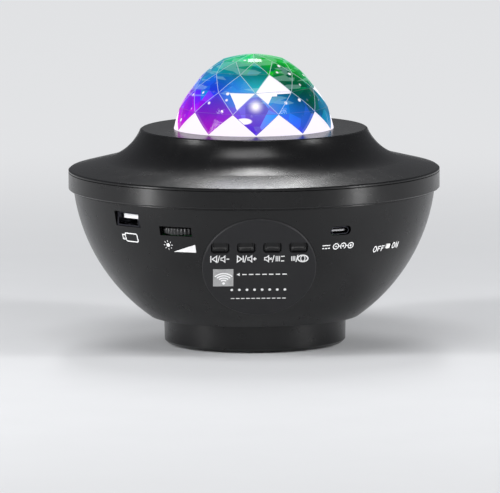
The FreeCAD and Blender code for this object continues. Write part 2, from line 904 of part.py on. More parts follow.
def usb_a_insert():
    """Plastic block at the back of the socket with the tongue in its upper half."""
    width, thickness, length = usb_a_tongue
    inside = (usb_a_width - 2 * usb_a_wall, usb_a_height - 2 * usb_a_wall)
    back = block(inside[0], inside[1], -usb_a_length, -usb_a_length + socket_block)
    tongue = block(width, thickness, -usb_a_length + socket_block, -usb_a_length + socket_block + length,
                   Vector(0, usb_a_tongue_rise, 0))
    return facing_front(joined([back, tongue]), usb_a_front(), usb_a_centre, usb_a_azimuth)


def usb_a_riser_block():
    """Plastic riser that lifts the USB-A socket above the board."""
    riser = block(usb_a_width, usb_a_riser, -usb_a_length, board_radius() - usb_a_front() - usb_a_wall,
                  Vector(0, -(usb_a_height + usb_a_riser) / 2, 0))
    return facing_front(riser, usb_a_front(), usb_a_centre, usb_a_azimuth)


def usb_c_front():
    """Radius of the USB-C shell's mouth."""
    return bowl_radius(usb_c_centre) - usb_c_setback


def usb_c_shell():
    """Drawn metal shell with round ends."""
    outer = rounded_bar(usb_c_width, usb_c_height, usb_c_height / 2, -usb_c_length, 0)
    inner_height = usb_c_height - 2 * usb_c_wall
    inner = rounded_bar(usb_c_width - 2 * usb_c_wall, inner_height, inner_height / 2,
                        -usb_c_length - overrun, overrun)
    return facing_front(outer.cut(inner), usb_c_front(), usb_c_centre, usb_c_azimuth)


def usb_c_insert():
    """Plastic block at the back of the socket with the thin centre tongue."""
    width, thickness, length = usb_c_tongue
    back = block(usb_c_width - usb_c_height, usb_c_height - 2 * usb_c_wall, -usb_c_length,
                 -usb_c_length + socket_block)
    tongue = block(width, thickness, -usb_c_length + socket_block, -usb_c_length + socket_block + length)
    return facing_front(joined([back, tongue]), usb_c_front(), usb_c_centre, usb_c_azimuth)


def dimmer_pot():
    """Potentiometer body, let into the board from below."""
    low = board_bottom - pot_depth
    bore = cylinder(wheel_stub_radius + running_fit, board_top - wheel_stub - slip, board_top + overrun,
                    wheel_place)
    return cylinder(pot_radius, low, board_top, wheel_place).cut(bore)


def dimmer_wheel():
    """Thumbwheel with a serrated rim and a stub that turns in the potentiometer."""
    points = []
    for corner in range(2 * wheel_ribs):
        radius = wheel_radius - wheel_rib_depth * (corner % 2)
        angle = math.pi * corner / wheel_ribs
        points.append(Vector(radius * math.cos(angle), radius * math.sin(angle), wheel_bottom))
    rim = Part.Face(Part.makePolygon(points + [points[0]])).extrude(up * wheel_thickness)
    stub = cylinder(wheel_stub_radius, board_top - wheel_stub, wheel_bottom)
    return moved(joined([rim, stub]), wheel_place)


def switch_back():
    """Depth of the switch card's front face behind the wall's outer face."""
    return bowl_wall + switch_behind + switch_body[2]


def switch_screw_bite():
    """Depth of the screw holes in the switch bosses."""
    return switch_body[2] / 2


def switch_boss_places():
    """Places of the switch card's bosses along the wall."""
    return [Vector(side * switch_boss_spread, 0, 0) for side in (-1, 1)]


def switch_on_wall(shape):
    """Moves a shape drawn face up onto the bowl's wall at the power switch."""
    return on_wall(shape, bowl_radius(switch_height), switch_height, bowl_tilt(switch_height),
                   switch_azimuth)


def power_switch_body():
    """Slide switch housing with the pocket that the slider runs in."""
    width, height, depth = switch_body
    front = -switch_back() + depth
    body = block(width, height, -switch_back(), front)
    base_width, base_height, base_depth = slider_base
    pocket = block(base_width + slider_travel + 2 * slider_clear, base_height + 2 * slider_clear,
                   front - switch_pocket_depth, front + overrun)
    return switch_on_wall(body.cut(pocket))


def power_slider():
    """Knob of the power switch; it rests at the OFF end and slides along the wall."""
    front = -switch_back() + switch_body[2]
    base_width, base_height, base_depth = slider_base
    knob_width, knob_height = slider_knob
    low = front - switch_pocket_depth + slider_clear
    place = Vector(-slider_travel / 2, 0, 0)
    base = block(base_width, base_height, low, low + base_depth, place)
    knob = block(knob_width, knob_height, low + base_depth, slider_proud, place)
    return switch_on_wall(joined([base, knob]))


def switch_card_board():
    """Small card that carries the power switch."""
    width, height, thickness = switch_card
    card = block(width, height, -switch_back() - thickness, -switch_back())
    holes = [peg(small_screw_shank + slip, -switch_back() - thickness - overrun,
                 -switch_back() + overrun, place)
             for place in switch_boss_places()]
    return switch_on_wall(card.cut(holes))


def switch_card_screws():
    """Screws that hold the switch card to the wall's bosses."""
    thickness = switch_card[2]
    return group([switch_on_wall(screw(small_screw_head, small_screw_shank, thickness + switch_screw_bite(),
                                       place, -switch_back() - thickness, 1))
                  for place in switch_boss_places()])


def trim_band():
    """Upright ring with broken edges between the bead and the top cover."""
    return turned_profile([(band_inner, band_bottom), (band_radius - band_edge, band_bottom),
                           (band_radius, band_bottom + band_edge), (band_radius, band_top - band_edge),
                           (band_radius - band_edge, band_top), (band_inner, band_top)])


def cover_slope():
    """Angle of the cover's straight slope above the level, in radians."""
    return math.atan2(cover_slope_rise, band_radius - plateau_radius)


def cover_section(depth):
    """Centre, radius and end angles of the cover's hollow curve, moved inwards by depth."""
    slope = cover_slope()
    inward, normal = (-math.cos(slope), math.sin(slope)), (math.sin(slope), math.cos(slope))
    offset_radius = band_radius + scotia_radius * normal[0] - plateau_radius
    offset_height = band_top + rim_edge + scotia_radius * normal[1] - plateau
    along = offset_radius * inward[0] + offset_height * inward[1]
    travel = -along - math.sqrt(along ** 2 - offset_radius ** 2 - offset_height ** 2 + scotia_radius ** 2)
    centre = (plateau_radius + offset_radius + travel * inward[0],
              plateau + offset_height + travel * inward[1])
    radius = scotia_radius + depth
    return centre, radius, -math.pi / 2 - slope, math.asin((centre[1] - plateau + depth) / radius) - math.pi


def cover_inside(height):
    """Radius of the cover's inner face at a height on its hollow curve."""
    centre, radius, first, last = cover_section(cover_wall)
    return centre[0] - math.sqrt(radius ** 2 - (centre[1] - height) ** 2)


def cover_outer():
    """The top cover's outer form, filled: rim, slope, hollow curve and plateau with broken edges."""
    centre, radius, first, last = cover_section(0)
    start, end = arc_point(centre, radius, first), arc_point(centre, radius, last)
    rim_height = band_top + rim_edge
    rim_top = rim_height + rim_edge_width * math.tan(cover_slope())
    lip = (plateau_radius - plateau_edge, plateau)
    foot = arc_point(centre, radius, last + plateau_edge / radius)
    return revolved([line((0, band_top), (band_radius, band_top)),
                     line((band_radius, band_top), (band_radius, rim_height - rim_edge_width / 2)),
                     line((band_radius, rim_height - rim_edge_width / 2),
                          (band_radius - rim_edge_width, rim_top)),
                     line((band_radius - rim_edge_width, rim_top), start),
                     arc(start, arc_point(centre, radius, (first + last) / 2), foot),
                     line(foot, lip),
                     line(lip, (0, plateau)),
                     line((0, plateau), (0, band_top))])


def cover_hollow():
    """The room under the cover's slope, hollow curve and plateau."""
    centre, radius, first, last = cover_section(cover_wall)
    start, end = arc_point(centre, radius, first), arc_point(centre, radius, last)
    edge_radius = band_radius - cover_wall
    edge_height = start[1] - (edge_radius - start[0]) * math.tan(cover_slope())
    low = band_top - cover_wall
    return revolved([line((0, low), (edge_radius, low)),
                     line((edge_radius, low), (edge_radius, edge_height)),
                     line((edge_radius, edge_height), start),
                     arc(start, arc_point(centre, radius, (first + last) / 2), end),
                     line(end, (0, flange_top)),
                     line((0, flange_top), (0, low))])


def top_cover():
    """Sloped cover with the dome's opening, deck and clamp bosses and the snap hooks."""
    outer = cover_outer()
    reach = outer.fuse(cylinder(band_inner, bowl_bottom, band_top))
    deck_places = [on_circle(deck_boss_circle, azimuth) for azimuth in deck_azimuths()]
    clamp_places = [on_circle(clamp_circle, azimuth) for azimuth in clamp_azimuths()]
    adds = [peg(deck_boss_radius, deck_top, plateau, place).common(outer) for place in deck_places]
    adds += [peg(clamp_boss_radius, clamp_top, flange_top + cover_wall / 2, place) for place in clamp_places]
    adds += [turned(snap_hook().common(reach), azimuth)
             for azimuth in spread(hook_count, full_turn / hook_count / 2)]
    cuts = [cylinder(dome_radius + dome_fit, deck_top, plateau + overrun)]
    cuts += [peg(small_screw_shank + thread_fit, deck_top - overrun, deck_top + deck_screw_bite, place)
             for place in deck_places]
    cuts += [peg(small_screw_shank + thread_fit, clamp_top - overrun, clamp_top + clamp_screw_bite, place)
             for place in clamp_places]
    return outer.cut(cover_hollow()).fuse(adds).cut(cuts).removeSplitter()


def snap_hook():
    """One hook at the front: a tongue down inside the neck with a barb under the neck's ledge."""
    face = neck_inner - slip
    barb_top = bowl_top - slip
    back, barb_bottom = face - hook_thickness, barb_top - barb_height
    profile = turned_profile([(face, barb_top), (face + hook_barb, barb_top), (face, barb_bottom),
                              (back, barb_bottom), (back, plateau), (face, plateau)])
    return profile.common(block(hook_width, 2 * hook_width, 0, plateau, Vector(0, -face, 0)))


def deck_azimuths():
    """The deck's screws stand on the diagonals."""
    return spread(deck_screws_count, full_turn / deck_screws_count / 2)


def clamp_azimuths():
    """The clamp ring's screws stand between the deck's."""
    return spread(clamp_screws_count)


deck_radius = cover_inside(deck_top) - deck_clear
deck_boss_circle = deck_radius - deck_boss_inset


def dome_corners():
    """Corners of the dome ring by ring from its rim up; alternate rings are turned half a step."""
    rim = plateau + dome_collar
    step = full_turn / dome_sides
    rings = []
    for level, (radius_share, height_share) in enumerate(zip(dome_radius_shares, dome_height_shares)):
        shift = step / 2 * (level % 2)
        rings.append([on_circle(dome_radius * radius_share, side * step + shift)
                      + Vector(0, 0, rim + dome_rise * height_share) for side in range(dome_sides)])
    return rings


def triangle(first, second, third):
    """Flat three-sided face."""
    return Part.Face(Part.makePolygon([first, second, third, first]))


def dome():
    """Clear gem-cut dome: flat triangular facets outside, a coned hollow inside and a clamped flange."""
    rings = dome_corners()
    tip = Vector(0, 0, plateau + dome_collar + dome_rise)
    faces = [Part.Face(Part.makePolygon(rings[0] + [rings[0][0]]))]
    for level in range(len(rings) - 1):
        lower, upper = rings[level], rings[level + 1]
        for side in range(dome_sides):
            after = (side + 1) % dome_sides
            if level % 2:
                faces.append(triangle(lower[side], lower[after], upper[after]))
                faces.append(triangle(upper[side], lower[side], upper[after]))
            else:
                faces.append(triangle(lower[side], lower[after], upper[side]))
                faces.append(triangle(upper[side], lower[after], upper[after]))
    for side in range(dome_sides):
        faces.append(triangle(rings[-1][side], rings[-1][(side + 1) % dome_sides], tip))
    gem = Part.Solid(Part.Shell(faces))
    collar = cylinder(dome_radius, clamp_top, plateau + dome_collar)
    flange = cylinder(dome_radius + dome_flange_width, clamp_top, flange_top)
    low = clamp_top - overrun
    hollow = [(dome_radius * radius_share * math.cos(math.pi / dome_sides) - dome_wall,
               plateau + dome_collar + (dome_rise - dome_wall) * height_share)
              for radius_share, height_share in zip(dome_radius_shares, dome_height_shares)]
    cavity = turned_profile([(0, low), (hollow[0][0], low)] + hollow + [(0, hollow[-1][1])])
    return joined([gem, collar, flange]).cut(cavity)


def clamp_ring():
    """Ring that holds the dome's flange up against the cover."""
    ring = tube(dome_radius + clamp_width, dome_radius - clamp_lap, clamp_bottom, clamp_top)
    holes = [peg(small_screw_shank + slip, clamp_bottom - overrun, clamp_top + overrun,
                 on_circle(clamp_circle, azimuth)) for azimuth in clamp_azimuths()]
    return ring.cut(holes)


def clamp_screws():
    """Screws from below through the clamp ring."""
    return group([screw(small_screw_head, small_screw_shank, clamp_thickness + clamp_screw_bite,
                        on_circle(clamp_circle, azimuth), clamp_bottom, 1) for azimuth in clamp_azimuths()])


def light_deck():
    """Round deck under the cover that carries the lamp and the motor."""
    low = deck_top - deck_thickness
    deck = cylinder(deck_radius, low, deck_top)
    rim = tube(deck_radius, deck_radius - deck_rim_wall, low - deck_rim, low)
    cuts = [cylinder(sink_radius - sink_lap, low - overrun, deck_top + overrun),
            cylinder(motor_boss_radius + slip, low - overrun, deck_top + overrun, motor_place)]
    cuts += [peg(small_screw_shank + slip, low - overrun, deck_top + overrun,
                 on_circle(deck_boss_circle, azimuth))
             for azimuth in deck_azimuths()]
    cuts += [peg(small_screw_shank + thread_fit, low - overrun, deck_top + overrun, place)
             for place in motor_ear_places() + sink_screw_places()]
    return deck.fuse(rim).cut(cuts)


def deck_screws():
    """Screws from below through the deck into the cover's bosses."""
    low = deck_top - deck_thickness
    return group([screw(small_screw_head, small_screw_shank, deck_thickness + deck_screw_bite,
                        on_circle(deck_boss_circle, azimuth), low, 1) for azimuth in deck_azimuths()])


def sink_screw_places():
    """Three screws round the heat sink's edge, clear of the motor."""
    return [on_circle(sink_radius - sink_screw_inset, azimuth) for azimuth in spread(sink_screws_count)]


def heat_sink():
    """Aluminium plate with fins that hang through the deck."""
    reach = sink_radius - sink_lap - free_gap
    low, high = deck_top - fin_height, deck_top + sink_plate / 2
    parts = [cylinder(sink_radius, deck_top, sink_top)]
    for number in range(fin_count):
        side = (number - (fin_count - 1) / 2) * fin_pitch
        corner = abs(side) + fin_thickness / 2
        parts.append(block(fin_thickness, 2 * math.sqrt(reach ** 2 - corner ** 2), low, high,
                           Vector(side, 0, 0)))
    holes = [cylinder(laser_radius + slip, low - overrun, sink_top + overrun)]
    holes += [peg(small_screw_shank + slip, deck_top - overrun, sink_top + overrun, place)
              for place in sink_screw_places()]
    return joined(parts).cut(holes)


def sink_screws():
    """Screws from above through the heat sink into the deck."""
    return group([screw(small_screw_head, small_screw_shank, sink_plate + deck_thickness, place,
                        sink_top, -1)
                  for place in sink_screw_places()])


def led_board():
    """Round aluminium-core board for the LEDs."""
    return tube(sink_radius - led_board_inset, post_flange_radius + slip, sink_top, led_board_top)


def led_places():
    """Places of the LEDs on their circle."""
    return [on_circle(led_circle, azimuth) for azimuth in spread(led_count, full_turn / led_count / 2)]


def leds():
    """Square LED packages."""
    return group([block(led_side, led_side, led_board_top, led_board_top + led_height, place)
                  for place in led_places()])


def led_lenses():
    """Conical lens over each LED, wide end up, with a pocket for it below."""
    lenses = []
    for place in led_places():
        cone = Part.makeCone(lens_foot_radius, lens_radius, lens_height,
                             Vector(place.x, place.y, led_board_top))
        pocket = block(led_side + 2 * slip, led_side + 2 * slip, led_board_top - overrun,
                       led_board_top + led_height + slip, place)
        lenses.append(cone.cut(pocket))
    return group(lenses)


def spindle_post():
    """Central post: foot, shoulder and the journal that the ripple disc turns on."""
    low = gear_bottom - slip
    bore = laser_radius + slip
    return turned_profile([(bore, sink_top), (post_flange_radius, sink_top),
                           (post_flange_radius, sink_top + post_flange),
                           (post_radius + post_shoulder, sink_top + post_flange),
                           (post_radius + post_shoulder, low), (post_radius, low), (post_radius, post_top),
                           (bore, post_top)])


def laser_module():
    """Brass barrel of the laser inside the post."""
    top = post_top - laser_below_cap
    return cylinder(laser_radius, top - laser_length, top)


def laser_grating():
    """Thin grating on the post's end that splits the laser into stars."""
    return cylinder(grating_radius, post_top, post_top + grating_thickness)


def lens_cap():
    """Long cap over the post that holds the grating and keeps the ripple disc down."""
    outer = post_radius + slip + cap_wall
    under = post_top + grating_thickness
    return turned_profile([(post_radius + slip, bush_top + slip), (outer, bush_top + slip),
                           (outer, under + cap_wall), (cap_aperture, under + cap_wall),
                           (cap_aperture, under), (post_radius + slip, under)])


def disc_bush():
    """Brass bush of the ripple disc, running on the post."""
    inner = post_radius + running_fit
    return tube(inner + bush_wall, inner, gear_bottom, bush_top)


def ripple_disc():
    """Clear disc whose rippled face bends the lamp's light."""
    return tube(disc_radius, post_radius + running_fit + bush_wall, disc_bottom, disc_top)


def gear_points(teeth, half_turn):
    """Outline of a spur gear: involute flanks from the tooth form, with backlash taken off."""
    pitch = gear_module * teeth / 2
    base = pitch * math.cos(math.radians(pressure_angle))
    tip = pitch + addendum_share * gear_module
    root = pitch - dedendum_share * gear_module
    step = 2 * math.pi / teeth
    flat = math.tan(math.radians(pressure_angle)) - math.radians(pressure_angle)
    half_tooth = step / 4 - backlash / 2 / pitch
    flank = []
    for radius in (max(base, root), tip) if teeth == gear_teeth else (max(base, root), pitch, tip):
        lean = math.acos(min(base / radius, 1))
        flank.append((radius, half_tooth + flat - (math.tan(lean) - lean)))
    if base > root:
        flank.insert(0, (root, flank[0][1]))
    points = []
    for tooth in range(teeth):
        middle = tooth * step + (step / 2 if half_turn else 0)
        points += [(radius, middle - half) for radius, half in flank]
        points += [(radius, middle + half) for radius, half in reversed(flank)]
    return [Vector(radius * math.cos(angle), radius * math.sin(angle), 0) for radius, angle in points]


def spur_gear(teeth, width, half_turn):
    """Solid spur gear standing on height 0."""
    points = gear_points(teeth, half_turn)
    gear = Part.Face(Part.makePolygon(points + [points[0]])).extrude(up * width)
    gear.rotate(origin, up, quarter_turn)
    return gear


def ripple_gear():
    """Toothed ring under the ripple disc."""
    gear = moved(spur_gear(gear_teeth, gear_width, False), up * gear_bottom)
    bore = gear_pitch_radius - dedendum_share * gear_module - gear_rim
    return gear.cut(cylinder(bore, gear_bottom - overrun, disc_bottom + overrun))


def motor_pinion():
    """Small pinion on the motor's shaft, meshing with the toothed ring."""
    half_turn = pinion_teeth % 2 == 0
    pinion = moved(spur_gear(pinion_teeth, pinion_width, half_turn), motor_place + up * pinion_bottom)
    return pinion.cut(cylinder(shaft_radius, pinion_bottom - overrun, disc_bottom, motor_place))


def drive_motor():
    """Round geared motor under the deck with two screw ears and a boss through the deck."""
    top = deck_top - deck_thickness
    body = cylinder(motor_radius, top - motor_length, top, motor_place)
    ears = [joined([peg(motor_ear_radius, top - motor_ear, top, place),
                    block(motor_ear_spread, math.sqrt(3) * motor_ear_radius, top - motor_ear, top,
                          (place + motor_place) / 2)]) for place in motor_ear_places()]
    boss = cylinder(motor_boss_radius, top, deck_top + motor_boss, motor_place)
    cuts = [peg(small_screw_shank + slip, top - motor_ear - overrun, top + thread_fit, place)
            for place in motor_ear_places()]
    cuts.append(cylinder(shaft_radius + running_fit, top - motor_shaft_inside,
                         deck_top + motor_boss + overrun,
                         motor_place))
    return joined([body, boss] + ears).cut(cuts)


def motor_ear_places():
    """The motor's ears stand left and right of its shaft."""
    return [motor_place + Vector(side * motor_ear_spread, 0, 0) for side in (-1, 1)]


def motor_shaft():
    """Steel shaft through the motor's boss and the pinion."""
    low = deck_top - deck_thickness - motor_shaft_inside + slip
    return cylinder(shaft_radius, low, pinion_bottom + pinion_width, motor_place)


def motor_screws():
    """Screws that hold the motor's ears to the deck."""
    seat = deck_top - deck_thickness - motor_ear
    return group([screw(small_screw_head, small_screw_shank, motor_ear + motor_screw_bite, place, seat, 1)
                  for place in motor_ear_places()])


def all_nodes():
    """Every node of the projector by name."""
    nodes = {
        "base_cover": base_cover(), "base_screws": base_screws(), "rubber_feet": rubber_feet(),
        "speaker_gasket": speaker_gasket(), "speaker_frame": speaker_frame(),
        "speaker_magnet": speaker_magnet(), "speaker_cone": speaker_cone(),
        "speaker_surround": speaker_surround(), "speaker_screws": speaker_screws(),
        "bowl_shell": bowl_shell(), "control_panel": control_panel(), "ir_window": ir_window(),
        "button_board": button_board(), "key_switches": key_switches(), "ir_receiver": ir_receiver(),
        "button_board_screws": button_board_screws(), "main_board": main_board(),
        "board_screws": board_screws(), "board_components": board_components(),
        "usb_a_shell": usb_a_shell(), "usb_a_tongue": usb_a_insert(), "usb_a_riser": usb_a_riser_block(),
        "usb_c_shell": usb_c_shell(), "usb_c_tongue": usb_c_insert(), "dimmer_pot": dimmer_pot(),
        "dimmer_wheel": dimmer_wheel(), "switch_card": switch_card_board(),
        "switch_card_screws": switch_card_screws(), "power_switch_body": power_switch_body(),
        "power_slider": power_slider(), "trim_band": trim_band(), "top_cover": top_cover(),
        "dome": dome(), "clamp_ring": clamp_ring(), "clamp_screws": clamp_screws(),
        "light_deck": light_deck(), "deck_screws": deck_screws(), "heat_sink": heat_sink(),
        "sink_screws": sink_screws(), "led_board": led_board(), "leds": leds(),
        "led_lenses": led_lenses(), "spindle_post": spindle_post(), "laser_module": laser_module(),
        "laser_grating": laser_grating(), "lens_cap": lens_cap(), "disc_bush": disc_bush(),
        "ripple_disc": ripple_disc(), "ripple_gear": ripple_gear(), "motor_pinion": motor_pinion(),
        "drive_motor": drive_motor(), "motor_shaft": motor_shaft(), "motor_screws": motor_screws(),
    }
    for name, place in zip(button_names, button_places()):
        nodes[name] = push_button(place)
    return nodes


os.makedirs("parts", exist_ok=True)
for node_name, node_shape in all_nodes().items():
    if not node_shape.isValid():
        print("not valid:", node_name)
    node_shape.exportStep("parts/" + node_name + ".step")
    print(node_name, len(node_shape.Solids), "solids, volume", round(node_shape.Volume, 1))
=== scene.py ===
import math

import bmesh
import bpy
from mathutils import Matrix, Quaternion, Vector


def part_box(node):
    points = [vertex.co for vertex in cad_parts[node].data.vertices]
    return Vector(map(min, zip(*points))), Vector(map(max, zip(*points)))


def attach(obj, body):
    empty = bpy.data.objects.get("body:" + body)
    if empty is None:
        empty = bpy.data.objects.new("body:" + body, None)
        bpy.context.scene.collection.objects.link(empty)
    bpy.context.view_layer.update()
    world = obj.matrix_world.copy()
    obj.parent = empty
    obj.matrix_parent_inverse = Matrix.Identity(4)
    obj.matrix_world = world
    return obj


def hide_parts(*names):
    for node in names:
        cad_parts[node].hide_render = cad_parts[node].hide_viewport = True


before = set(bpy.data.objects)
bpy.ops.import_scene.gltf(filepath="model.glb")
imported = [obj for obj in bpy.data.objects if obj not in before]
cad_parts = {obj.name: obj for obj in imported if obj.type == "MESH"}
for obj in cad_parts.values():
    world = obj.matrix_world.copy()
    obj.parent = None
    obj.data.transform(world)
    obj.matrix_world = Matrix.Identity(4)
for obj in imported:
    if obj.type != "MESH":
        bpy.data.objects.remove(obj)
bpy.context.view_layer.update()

# Star projector: satin black bowl, trim band and cover, a lit gem-cut dome, a grey control panel,
# printed marks and the small metal parts. Sizes here are in millimetres and go through MM.

MM = 0.001

# The bowl is part of a ball; its edge at the base, its rim and their heights fix it
BOWL_FOOT_RADIUS, RIM_RADIUS = 47.4, 81.6
BOWL_BOTTOM, BOWL_TOP = 13.0, 69.7
BALL_CENTRE = ((RIM_RADIUS ** 2 - BOWL_FOOT_RADIUS ** 2 + BOWL_TOP ** 2 - BOWL_BOTTOM ** 2)
               / (2 * (BOWL_TOP - BOWL_BOTTOM)))
BALL_RADIUS = math.hypot(BOWL_FOOT_RADIUS, BALL_CENTRE - BOWL_BOTTOM)

# Control panel: a flat disc that leans forward at its top
PANEL_RADIUS, PANEL_HEIGHT, PANEL_PROUD = 25.6, 42.8, 0.5
PANEL_TILT = math.radians(26.0)
PANEL_TOP = PANEL_HEIGHT + PANEL_RADIUS * math.cos(PANEL_TILT)
PANEL_OUT = (math.sqrt(BALL_RADIUS ** 2 - (BALL_CENTRE - PANEL_TOP) ** 2)
             + PANEL_PROUD / math.cos(PANEL_TILT) - PANEL_RADIUS * math.sin(PANEL_TILT))
IR_PLACE = (-16.1, -5.3)

# Dome: rings of ten corners from the rim up, alternate rings turned by half a step
DOME_RIM, DOME_RISE, DOME_RADIUS, DOME_SIDES = 98.3, 33.2, 36.05, 10
DOME_RADIUS_SHARES = (1.0, 0.925, 0.775, 0.583, 0.385)
DOME_HEIGHT_SHARES = (0.0, 0.271, 0.545, 0.773, 0.925)
DOME_WALL, DOME_FOOT, DOME_FLANGE_TOP, DOME_FLANGE = 1.5, 94.1, 95.7, 38.55
DOME_SPLITS, DOME_BULGE = 4, 0.6

# Camera: far away with a long lens, seven degrees above the level
CAMERA_DISTANCE, CAMERA_RISE, CAMERA_TURN, CAMERA_ROLL = 6000.0, 7.0, -1.65, -0.35
PHOTO_WIDTH, PHOTO_SCALE = 500, 2.208
AXIS_COLUMN, AIM_HEIGHT = 254.5, 43.7
SENSOR = 36.0

PRINT_RISE, PRINT_SINK = 0.06, 0.12


def linear(code):
    """Linear colour of an sRGB hex code."""
    parts = [int(code[place:place + 2], 16) / 255 for place in (1, 3, 5)]
    return [part / 12.92 if part <= 0.04045 else ((part + 0.055) / 1.055) ** 2.4 for part in parts] + [1.0]


def add_node(tree, kind, inputs=(), **settings):
    """Adds a node; inputs pairs a socket with its value or with the socket that feeds it."""
    made = tree.nodes.new("ShaderNode" + kind)
    for name, value in settings.items():
        setattr(made, name, value)
    for socket, value in dict(inputs).items():
        if isinstance(value, bpy.types.NodeSocket):
            tree.links.new(value, made.inputs[socket])
        else:
            made.inputs[socket].default_value = value
    return made


def new_material(name, sockets=()):
    """A material with one shader, its constant values set on the shader's own sockets."""
    made = bpy.data.materials.new(name)
    made.use_nodes = True
    tree = made.node_tree
    tree.nodes.clear()
    shader = add_node(tree, "BsdfPrincipled", sockets)
    add_node(tree, "OutputMaterial", {"Surface": shader.outputs[0]})
    return made, tree, shader


def feed(shader, socket, source):
    """Leads a socket into the shader."""
    shader.id_data.links.new(source, shader.inputs[socket])


def object_place(tree):
    """The object's own coordinates in metres."""
    return add_node(tree, "TexCoord").outputs["Object"]


def calc(tree, operation, *values):
    """Result of a Math node."""
    return add_node(tree, "Math", dict(enumerate(values)), operation=operation).outputs[0]


def vec(tree, operation, *values, **scale):
    """Result of a Vector Math node: a number for a distance or a product, otherwise a vector."""
    made = add_node(tree, "VectorMath", {**dict(enumerate(values)), **scale}, operation=operation)
    return made.outputs["Value" if operation in ("DISTANCE", "DOT_PRODUCT", "LENGTH") else 0]


def spread(tree, value, low, high, first=0.0, last=1.0):
    """A value between first and last, stretched to run from low to high."""
    return add_node(tree, "MapRange", {"Value": value, "From Min": first, "From Max": last,
                                       "To Min": low, "To Max": high}).outputs[0]


def mixed(tree, share, first, other):
    """Blend of two colours, each an sRGB code or a socket."""
    first, other = (linear(item) if isinstance(item, str) else item for item in (first, other))
    return add_node(tree, "Mix", {0: share, 6: first, 7: other}, data_type="RGBA").outputs[2]


def noise(tree, place, size, detail):
    """Noise with clouds of a size in mm."""
    made = add_node(tree, "TexNoise", {"Vector": place, "Scale": 1 / (size * MM), "Detail": detail})
    return made.outputs["Fac"]


def cells_of(tree, place, size):
    """Voronoi cells of a size in mm."""
    made = add_node(tree, "TexVoronoi", {"Vector": place, "Scale": 1 / (size * MM), "Randomness": 1.0})
    return made.outputs


def raised(tree, shader, height, depth):
    """Relief of a depth in mm."""
    bump = add_node(tree, "Bump", {"Height": height, "Distance": depth * MM, "Strength": 1.0})
    feed(shader, "Normal", bump.outputs[0])


def per_size(*sizes):
    """Scale that turns metres into shares of sizes in mm."""
    return [1 / (size * MM) for size in sizes]


def moulded(name, colour, other, roughness, grain, depth, ior=1.53, more=()):
    """Moulded plastic or rubber: two close shades in clouds, uneven sheen and a tool-mark grain in mm."""
    made, tree, shader = new_material(name, {"IOR": ior, **dict(more)})
    place = object_place(tree)
    feed(shader, "Base Color", mixed(tree, noise(tree, place, 14, 3.0), colour, other))
    sheen = noise(tree, place, 5, 5.0)
    feed(shader, "Roughness", spread(tree, sheen, roughness - 0.02, roughness + 0.03, 0.3, 0.7))
    raised(tree, shader, noise(tree, place, grain, 2.0), depth)
    return made


def worked_metal(name, colour, other, roughness, stretch, depth):
    """Metal whose fine marks run along one direction; stretch gives the marks' size in mm along X, Y, Z."""
    made, tree, shader = new_material(name, {"Metallic": 1.0})
    along = vec(tree, "MULTIPLY", object_place(tree), per_size(*stretch))
    marks = add_node(tree, "TexNoise", {"Vector": along, "Scale": 1.0, "Detail": 4.0}).outputs["Fac"]
    feed(shader, "Base Color", mixed(tree, marks, colour, other))
    feed(shader, "Roughness", spread(tree, marks, roughness - 0.08, roughness + 0.1))
    raised(tree, shader, marks, depth)
    return made


# ABS moulded in a spark-eroded tool: near black with a satin sheen and a pore too fine to see alone,
# drawn at 0.5 mm so that it still breaks the highlights
housing_abs = moulded("abs_black_spark_textured", "#0a0a0b", "#0d0d0e", 0.25, 0.5, 0.0006,
                      more={"Specular IOR Level": 0.32})

# ABS rubbed with fine blast grit: a dark grey that stays matt from every side
panel_abs = moulded("abs_grey_matt_blasted", "#1a1a1c", "#1e1e20", 0.6, 0.4, 0.01,
                    more={"Specular IOR Level": 0.3})

# ABS key caps polished a little by fingers, with a soft gloss on the rims; their colour is darker than the
# panel's grey as painted shade for the sunken pockets they sit in
shaded_key_abs = moulded("abs_key_cap_painted_shade", "#0f0f10", "#141415", 0.3, 0.6, 0.003,
                     more={"Specular IOR Level": 0.3})

# Black ABS thumbwheel, dry and slightly worn to grey on its ribs
wheel_abs = moulded("abs_black_ribbed", "#19191a", "#212122", 0.38, 0.5, 0.006)

# White ABS knob, glossy where it is touched
knob_abs = moulded("abs_white_glossy", "#e2e2e0", "#ecece9", 0.28, 0.7, 0.003)

# White glass-filled PBT of the socket's tongue: bright, a little chalky
tongue_pbt = moulded("pbt_white_glass_filled", "#e9eaec", "#f3f3f4", 0.4, 0.4, 0.005, ior=1.56)

# Black liquid-crystal polymer of connectors and switches: flat black with flow marks
socket_lcp = moulded("lcp_black_moulded", "#131313", "#1d1d1d", 0.5, 0.5, 0.008, ior=1.6)

# Black ABS of the inner frames, left as it came from the tool
deck_abs = moulded("abs_black_plain", "#161616", "#1c1c1c", 0.5, 0.8, 0.01)

# Acetal gears: milky white with a waxy gloss
acetal = moulded("acetal_white_hobbed", "#dfded6", "#eae9e2", 0.33, 0.6, 0.004, ior=1.48,
                 more={"Subsurface Weight": 0.12, "Subsurface Scale": 0.8 * MM})

# Nitrile rubber feet: soft black with a dusty bloom
foot_rubber = moulded("nitrile_rubber_moulded", "#17171a", "#232326", 0.78, 0.6, 0.02, ior=1.52)

# Butyl rubber surround and foam gasket: darker and smoother than the feet
surround_rubber = moulded("butyl_rubber_pressed", "#121212", "#1a1a1a", 0.6, 0.7, 0.01, ior=1.52)

# Long-fibre paper of the cone, pressed and dyed black
cone_paper = moulded("paper_pulp_black_pressed", "#1b1a1a", "#2b2a29", 0.85, 0.9, 0.06, ior=1.5)

# Epoxy moulding compound of chips and connectors
component_epoxy = moulded("epoxy_black_moulded", "#18181a", "#222224", 0.55, 0.35, 0.01, ior=1.55)

# Sintered ferrite: dark grey and slightly gritty
ferrite = moulded("ferrite_sintered_ground", "#38383b", "#48484c", 0.55, 0.5, 0.02, ior=2.2)

